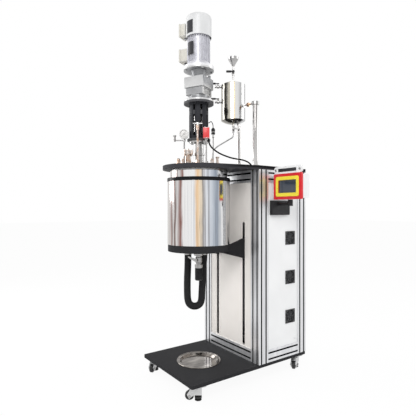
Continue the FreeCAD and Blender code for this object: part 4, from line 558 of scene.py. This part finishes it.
def bent_plate(name, radius, middle, reach, low, high, material):
    """Thin blank plate that follows the motor's round side, with a rivet at each corner."""
    mesh = bmesh.new()
    steps = 8
    rows = []
    for z in (low, high):
        for size in (radius, radius + 0.9):
            row = []
            for i in range(steps + 1):
                angle = math.radians(middle - reach + 2 * reach * i / steps)
                row.append(mesh.verts.new(DRIVE @ Vector(millimetres(
                    size * math.cos(angle), size * math.sin(angle), z))))
            rows.append(row)
    low_in, low_out, high_in, high_out = rows
    for i in range(steps):
        for a, b in ((low_in, low_out), (low_out, high_out), (high_out, high_in),
                     (high_in, low_in)):
            mesh.faces.new([a[i], a[i + 1], b[i + 1], b[i]])
    for i in (0, steps):
        mesh.faces.new([low_in[i], low_out[i], high_out[i], high_in[i]])
    for angle in (middle - reach * 0.86, middle + reach * 0.86):
        for z in (low + 4, high - 4):
            turn = math.radians(angle)
            out = DRIVE.to_3x3() @ Vector((math.cos(turn), math.sin(turn), 0))
            spot = DRIVE @ Vector(millimetres((radius + 0.8) * math.cos(turn),
                                              (radius + 0.8) * math.sin(turn), z))
            turned(mesh, [(0, 0), (1.6, 0), (1.2, 0.8), (0, 1)], facing(spot, out), 10)
    finished(mesh, name, material, "machine")


def sensor_shell():
    x, y = plan(50, 90)
    place = Matrix.Translation(at(x, y, 0)) @ Matrix.Rotation(CORNER, 4, "Z")
    mesh = bmesh.new()
    boxed(mesh, millimetres(-20.4, -20.4, 1548.6), millimetres(20.4, 20.4, 1617.4), place, 0.004)
    boxed(mesh, millimetres(-20.9, -20.9, 1592), millimetres(20.9, 20.9, 1594), place, 0.0004)
    finished(mesh, "sensor_shell", coral, "machine")


def thermo_plug():
    x, y = plan(96, -95)
    mesh = bmesh.new()
    turned(mesh, [(0, 1608.6), (11.4, 1608.6), (13.4, 1613), (13.4, 1622), (12.6, 1623),
                  (12.6, 1626), (13.4, 1627), (13.4, 1643), (6.4, 1653.2), (0, 1653.2)],
           Matrix.Translation(at(x, y, 0)), 24)
    finished(mesh, "thermo_plug", black_plastic, "machine")


def outlet_sleeve():
    """Foam sleeve on the discharge outlet, pulled in at both ends."""
    mesh = bmesh.new()
    turned(mesh, [(14.3, 631.6), (20, 631.4), (23.6, 634), (25.2, 640), (24.7, 660), (25.2, 690),
                  (24.9, 711), (23, 716.5), (19, 718.2), (14.3, 718.2)],
           Matrix.Translation(at(0, 0, 0)), 40)
    finished(mesh, "outlet_sleeve", foam, "vessel")


def hose_ends():
    """Clamp bands where the hose meets the jacket's ports."""
    mesh = bmesh.new()
    for across, _ in (HOSE_LINE[0], HOSE_LINE[-1]):
        x, y = plan(across, -60)
        turned(mesh, [(15.2, 806.4), (24.4, 806.4), (24.4, 794), (23.4, 793), (23.4, 806.2)],
               Matrix.Translation(at(x, y, 0)), 40)
        turned(mesh, [(15.2, 806.6), (19.5, 806.6), (19.5, 812), (15.2, 812)],
               Matrix.Translation(at(x, y, 0)), 32)
    finished(mesh, "hose_clamps", satin, "vessel")


def post_trim():
    """Clamp on the tall post and the knob on the tank's rod."""
    way = Vector((*TALL_POST, 0)) - Vector((*TANK, 0))
    span = way.length
    along = way.normalized()
    mesh = bmesh.new()
    turned(mesh, [(0, 1781.6), (24, 1781.6), (25.4, 1783), (25.4, 1801), (24, 1802.4), (0, 1802.4)],
           Matrix.Translation(at(*TALL_POST, 0)), 36)
    finished(mesh, "post_clamp", satin, "machine")
    mesh = bmesh.new()
    knob = at(*TANK, 1792) + along * (span - 62) / 1000
    ribs = []
    for step in range(4):
        ribs += [(13.4, 0.5 + step * 4), (13.4, 3 + step * 4), (12.4, 3.6 + step * 4)]
    turned(mesh, [(0, -0.4), (11.5, -0.4), *ribs, (11.5, 16.4), (0, 16.4)],
           facing(knob, along), 28)
    finished(mesh, "rod_knob", brass_tone, "machine")


def header_plate():
    """Blank bar and two cap screws on the panel's header."""
    mesh = bmesh.new()
    boxed(mesh, at(358, 370.1, 1335), at(508, 371.1, 1356), bevel=0.0004)
    finished(mesh, "header_bar", dark_plate, "screen")
    mesh = bmesh.new()
    for x in (339, 536):
        turned(mesh, [(0, 0), (8, 0), (8, 3.4), (6.6, 4.6), (3, 4.6), (3, 3), (0, 3)],
               facing(at(x, 370.9, 1346), (0, -1, 0)), 24)
    finished(mesh, "header_screws", satin, "screen")


def lever_grips():
    """Dipped grips on the blades of the tank's black levers."""
    heading = Matrix.Rotation(CORNER, 4, "Z")
    lying = Matrix.Rotation(math.radians(-90), 4, "X")
    dx, dy = plan(-104, 0)
    places = {
        "funnel": Matrix.Translation(at(*TANK, 2035)) @ heading,
        "upper": Matrix.Translation(at(TANK[0] + dx, TANK[1] + dy, 1936)) @ heading @ lying,
        "lower": Matrix.Translation(at(TANK[0] + dx, TANK[1] + dy, 1832)) @ heading @ lying,
    }
    for label, place in places.items():
        mesh = bmesh.new()
        boxed(mesh, millimetres(-49.4, -28, -8.2), millimetres(-15, -16.5, 6.4), place, 0.0045)
        finished(mesh, "grip_" + label, black_plastic, label + "_lever")


def wheel_hubs():
    """Axle bolts on the casters' cheeks, one on each side of the wheel."""
    places = {"front_right": (260, -181, -125), "front_left": (-260, -181, -55),
              "back_right": (260, 640, -60), "back_left": (-260, 640, -60)}
    for label, (x, y, turn) in places.items():
        mesh = bmesh.new()
        turn = math.radians(turn)
        side = Vector((-math.sin(turn), math.cos(turn), 0))
        for way in (-1, 1):
            spot = at(x + 50 * math.cos(turn), y + 50 * math.sin(turn), 28) + side * way * 0.0198
            turned(mesh, [(0, 0), (8, 0), (8, 1.6), (5.5, 2.2), (5.5, 4.4), (4.6, 5.2), (0, 5.2)],
                   facing(spot, side * way), 20)
        finished(mesh, "hub_" + label, satin, "caster_" + label)


terminal_boxes()
bent_plate("cowl_plate", 84.1, -106, 18, 2235, 2316, dark_plate)
bent_plate("motor_plate", 75.1, -109, 20, 2099, 2181, dark_plate)
sensor_shell()
thermo_plug()
outlet_sleeve()
hose_ends()
post_trim()
header_plate()
lever_grips()
wheel_hubs()


# Stage: floor, world, lamps and the camera

def seen_directly(tree):
    """One for rays that reach the eye, also by way of metal or glass, and else nought."""
    seen = add(tree, "LightPath")
    either = add(tree, "Math", operation="MAXIMUM")
    link(tree, seen.outputs["Is Camera Ray"], either.inputs[0])
    link(tree, seen.outputs["Is Glossy Ray"], either.inputs[1])
    any_way = add(tree, "Math", operation="MAXIMUM")
    link(tree, either.outputs[0], any_way.inputs[0])
    link(tree, seen.outputs["Is Transmission Ray"], any_way.inputs[1])
    return any_way.outputs[0]


def stage_material():
    """White to the eye, and still matt enough to keep the machine's shadow."""
    material = bpy.data.materials.new("floor")
    material.use_nodes = True
    tree = material.node_tree
    shader = tree.nodes["Principled BSDF"]
    shader.inputs["Base Color"].default_value = (0.93, 0.93, 0.93, 1)
    shader.inputs["Roughness"].default_value = 0.9
    shader.inputs["Specular IOR Level"].default_value = 0.1
    glow = add(tree, "Emission", Strength=1.0)
    blend = add(tree, "MixShader")
    link(tree, spread(tree, seen_directly(tree), 0, 0.94), blend.inputs[0])
    link(tree, shader.outputs[0], blend.inputs[1])
    link(tree, glow.outputs[0], blend.inputs[2])
    link(tree, blend.outputs[0], tree.nodes["Material Output"].inputs["Surface"])
    return material


def make_floor():
    mesh = bmesh.new()
    bmesh.ops.create_grid(mesh, x_segments=1, y_segments=1, size=30)
    data = bpy.data.meshes.new("floor")
    mesh.to_mesh(data)
    mesh.free()
    floor = bpy.data.objects.new("floor", data)
    bpy.context.scene.collection.objects.link(floor)
    data.materials.append(stage_material())
    floor.location.z = -0.0005


def make_world():
    world = bpy.data.worlds.new("studio")
    bpy.context.scene.world = world
    world.use_nodes = True
    tree = world.node_tree
    background = tree.nodes["Background"]
    background.inputs["Color"].default_value = (1, 1, 1, 1)
    link(tree, spread(tree, seen_directly(tree), 0.72, 1.0), background.inputs["Strength"])


def lamp(name, place, target, size, power):
    data = bpy.data.lights.new(name, "AREA")
    data.shape = "RECTANGLE"
    data.size, data.size_y = size
    data.energy = power
    thing = bpy.data.objects.new(name, data)
    bpy.context.scene.collection.objects.link(thing)
    thing.location = place
    thing.rotation_euler = (Vector(target) - Vector(place)).to_track_quat("-Z", "Y").to_euler()


make_floor()
make_world()
lamp("key", (2.4, -2.6, 3.4), (0, 0, 1.1), (1.6, 2.2), 66)
lamp("fill", (-3.2, -2.2, 2.2), (0, 0, 1.1), (2.0, 2.0), 60)
lamp("rim", (1.5, 3.4, 2.8), (0, 0, 1.2), (1.6, 2.0), 34)

camera_data = bpy.data.cameras.new("camera")
camera_data.lens = LENS
camera_data.sensor_width = SENSOR
camera = bpy.data.objects.new("camera", camera_data)
bpy.context.scene.collection.objects.link(camera)
camera.location = at(*EYE)
camera.rotation_euler = (math.radians(90), 0, CORNER)
bpy.context.scene.camera = camera
bpy.context.scene.view_settings.view_transform = "Standard"
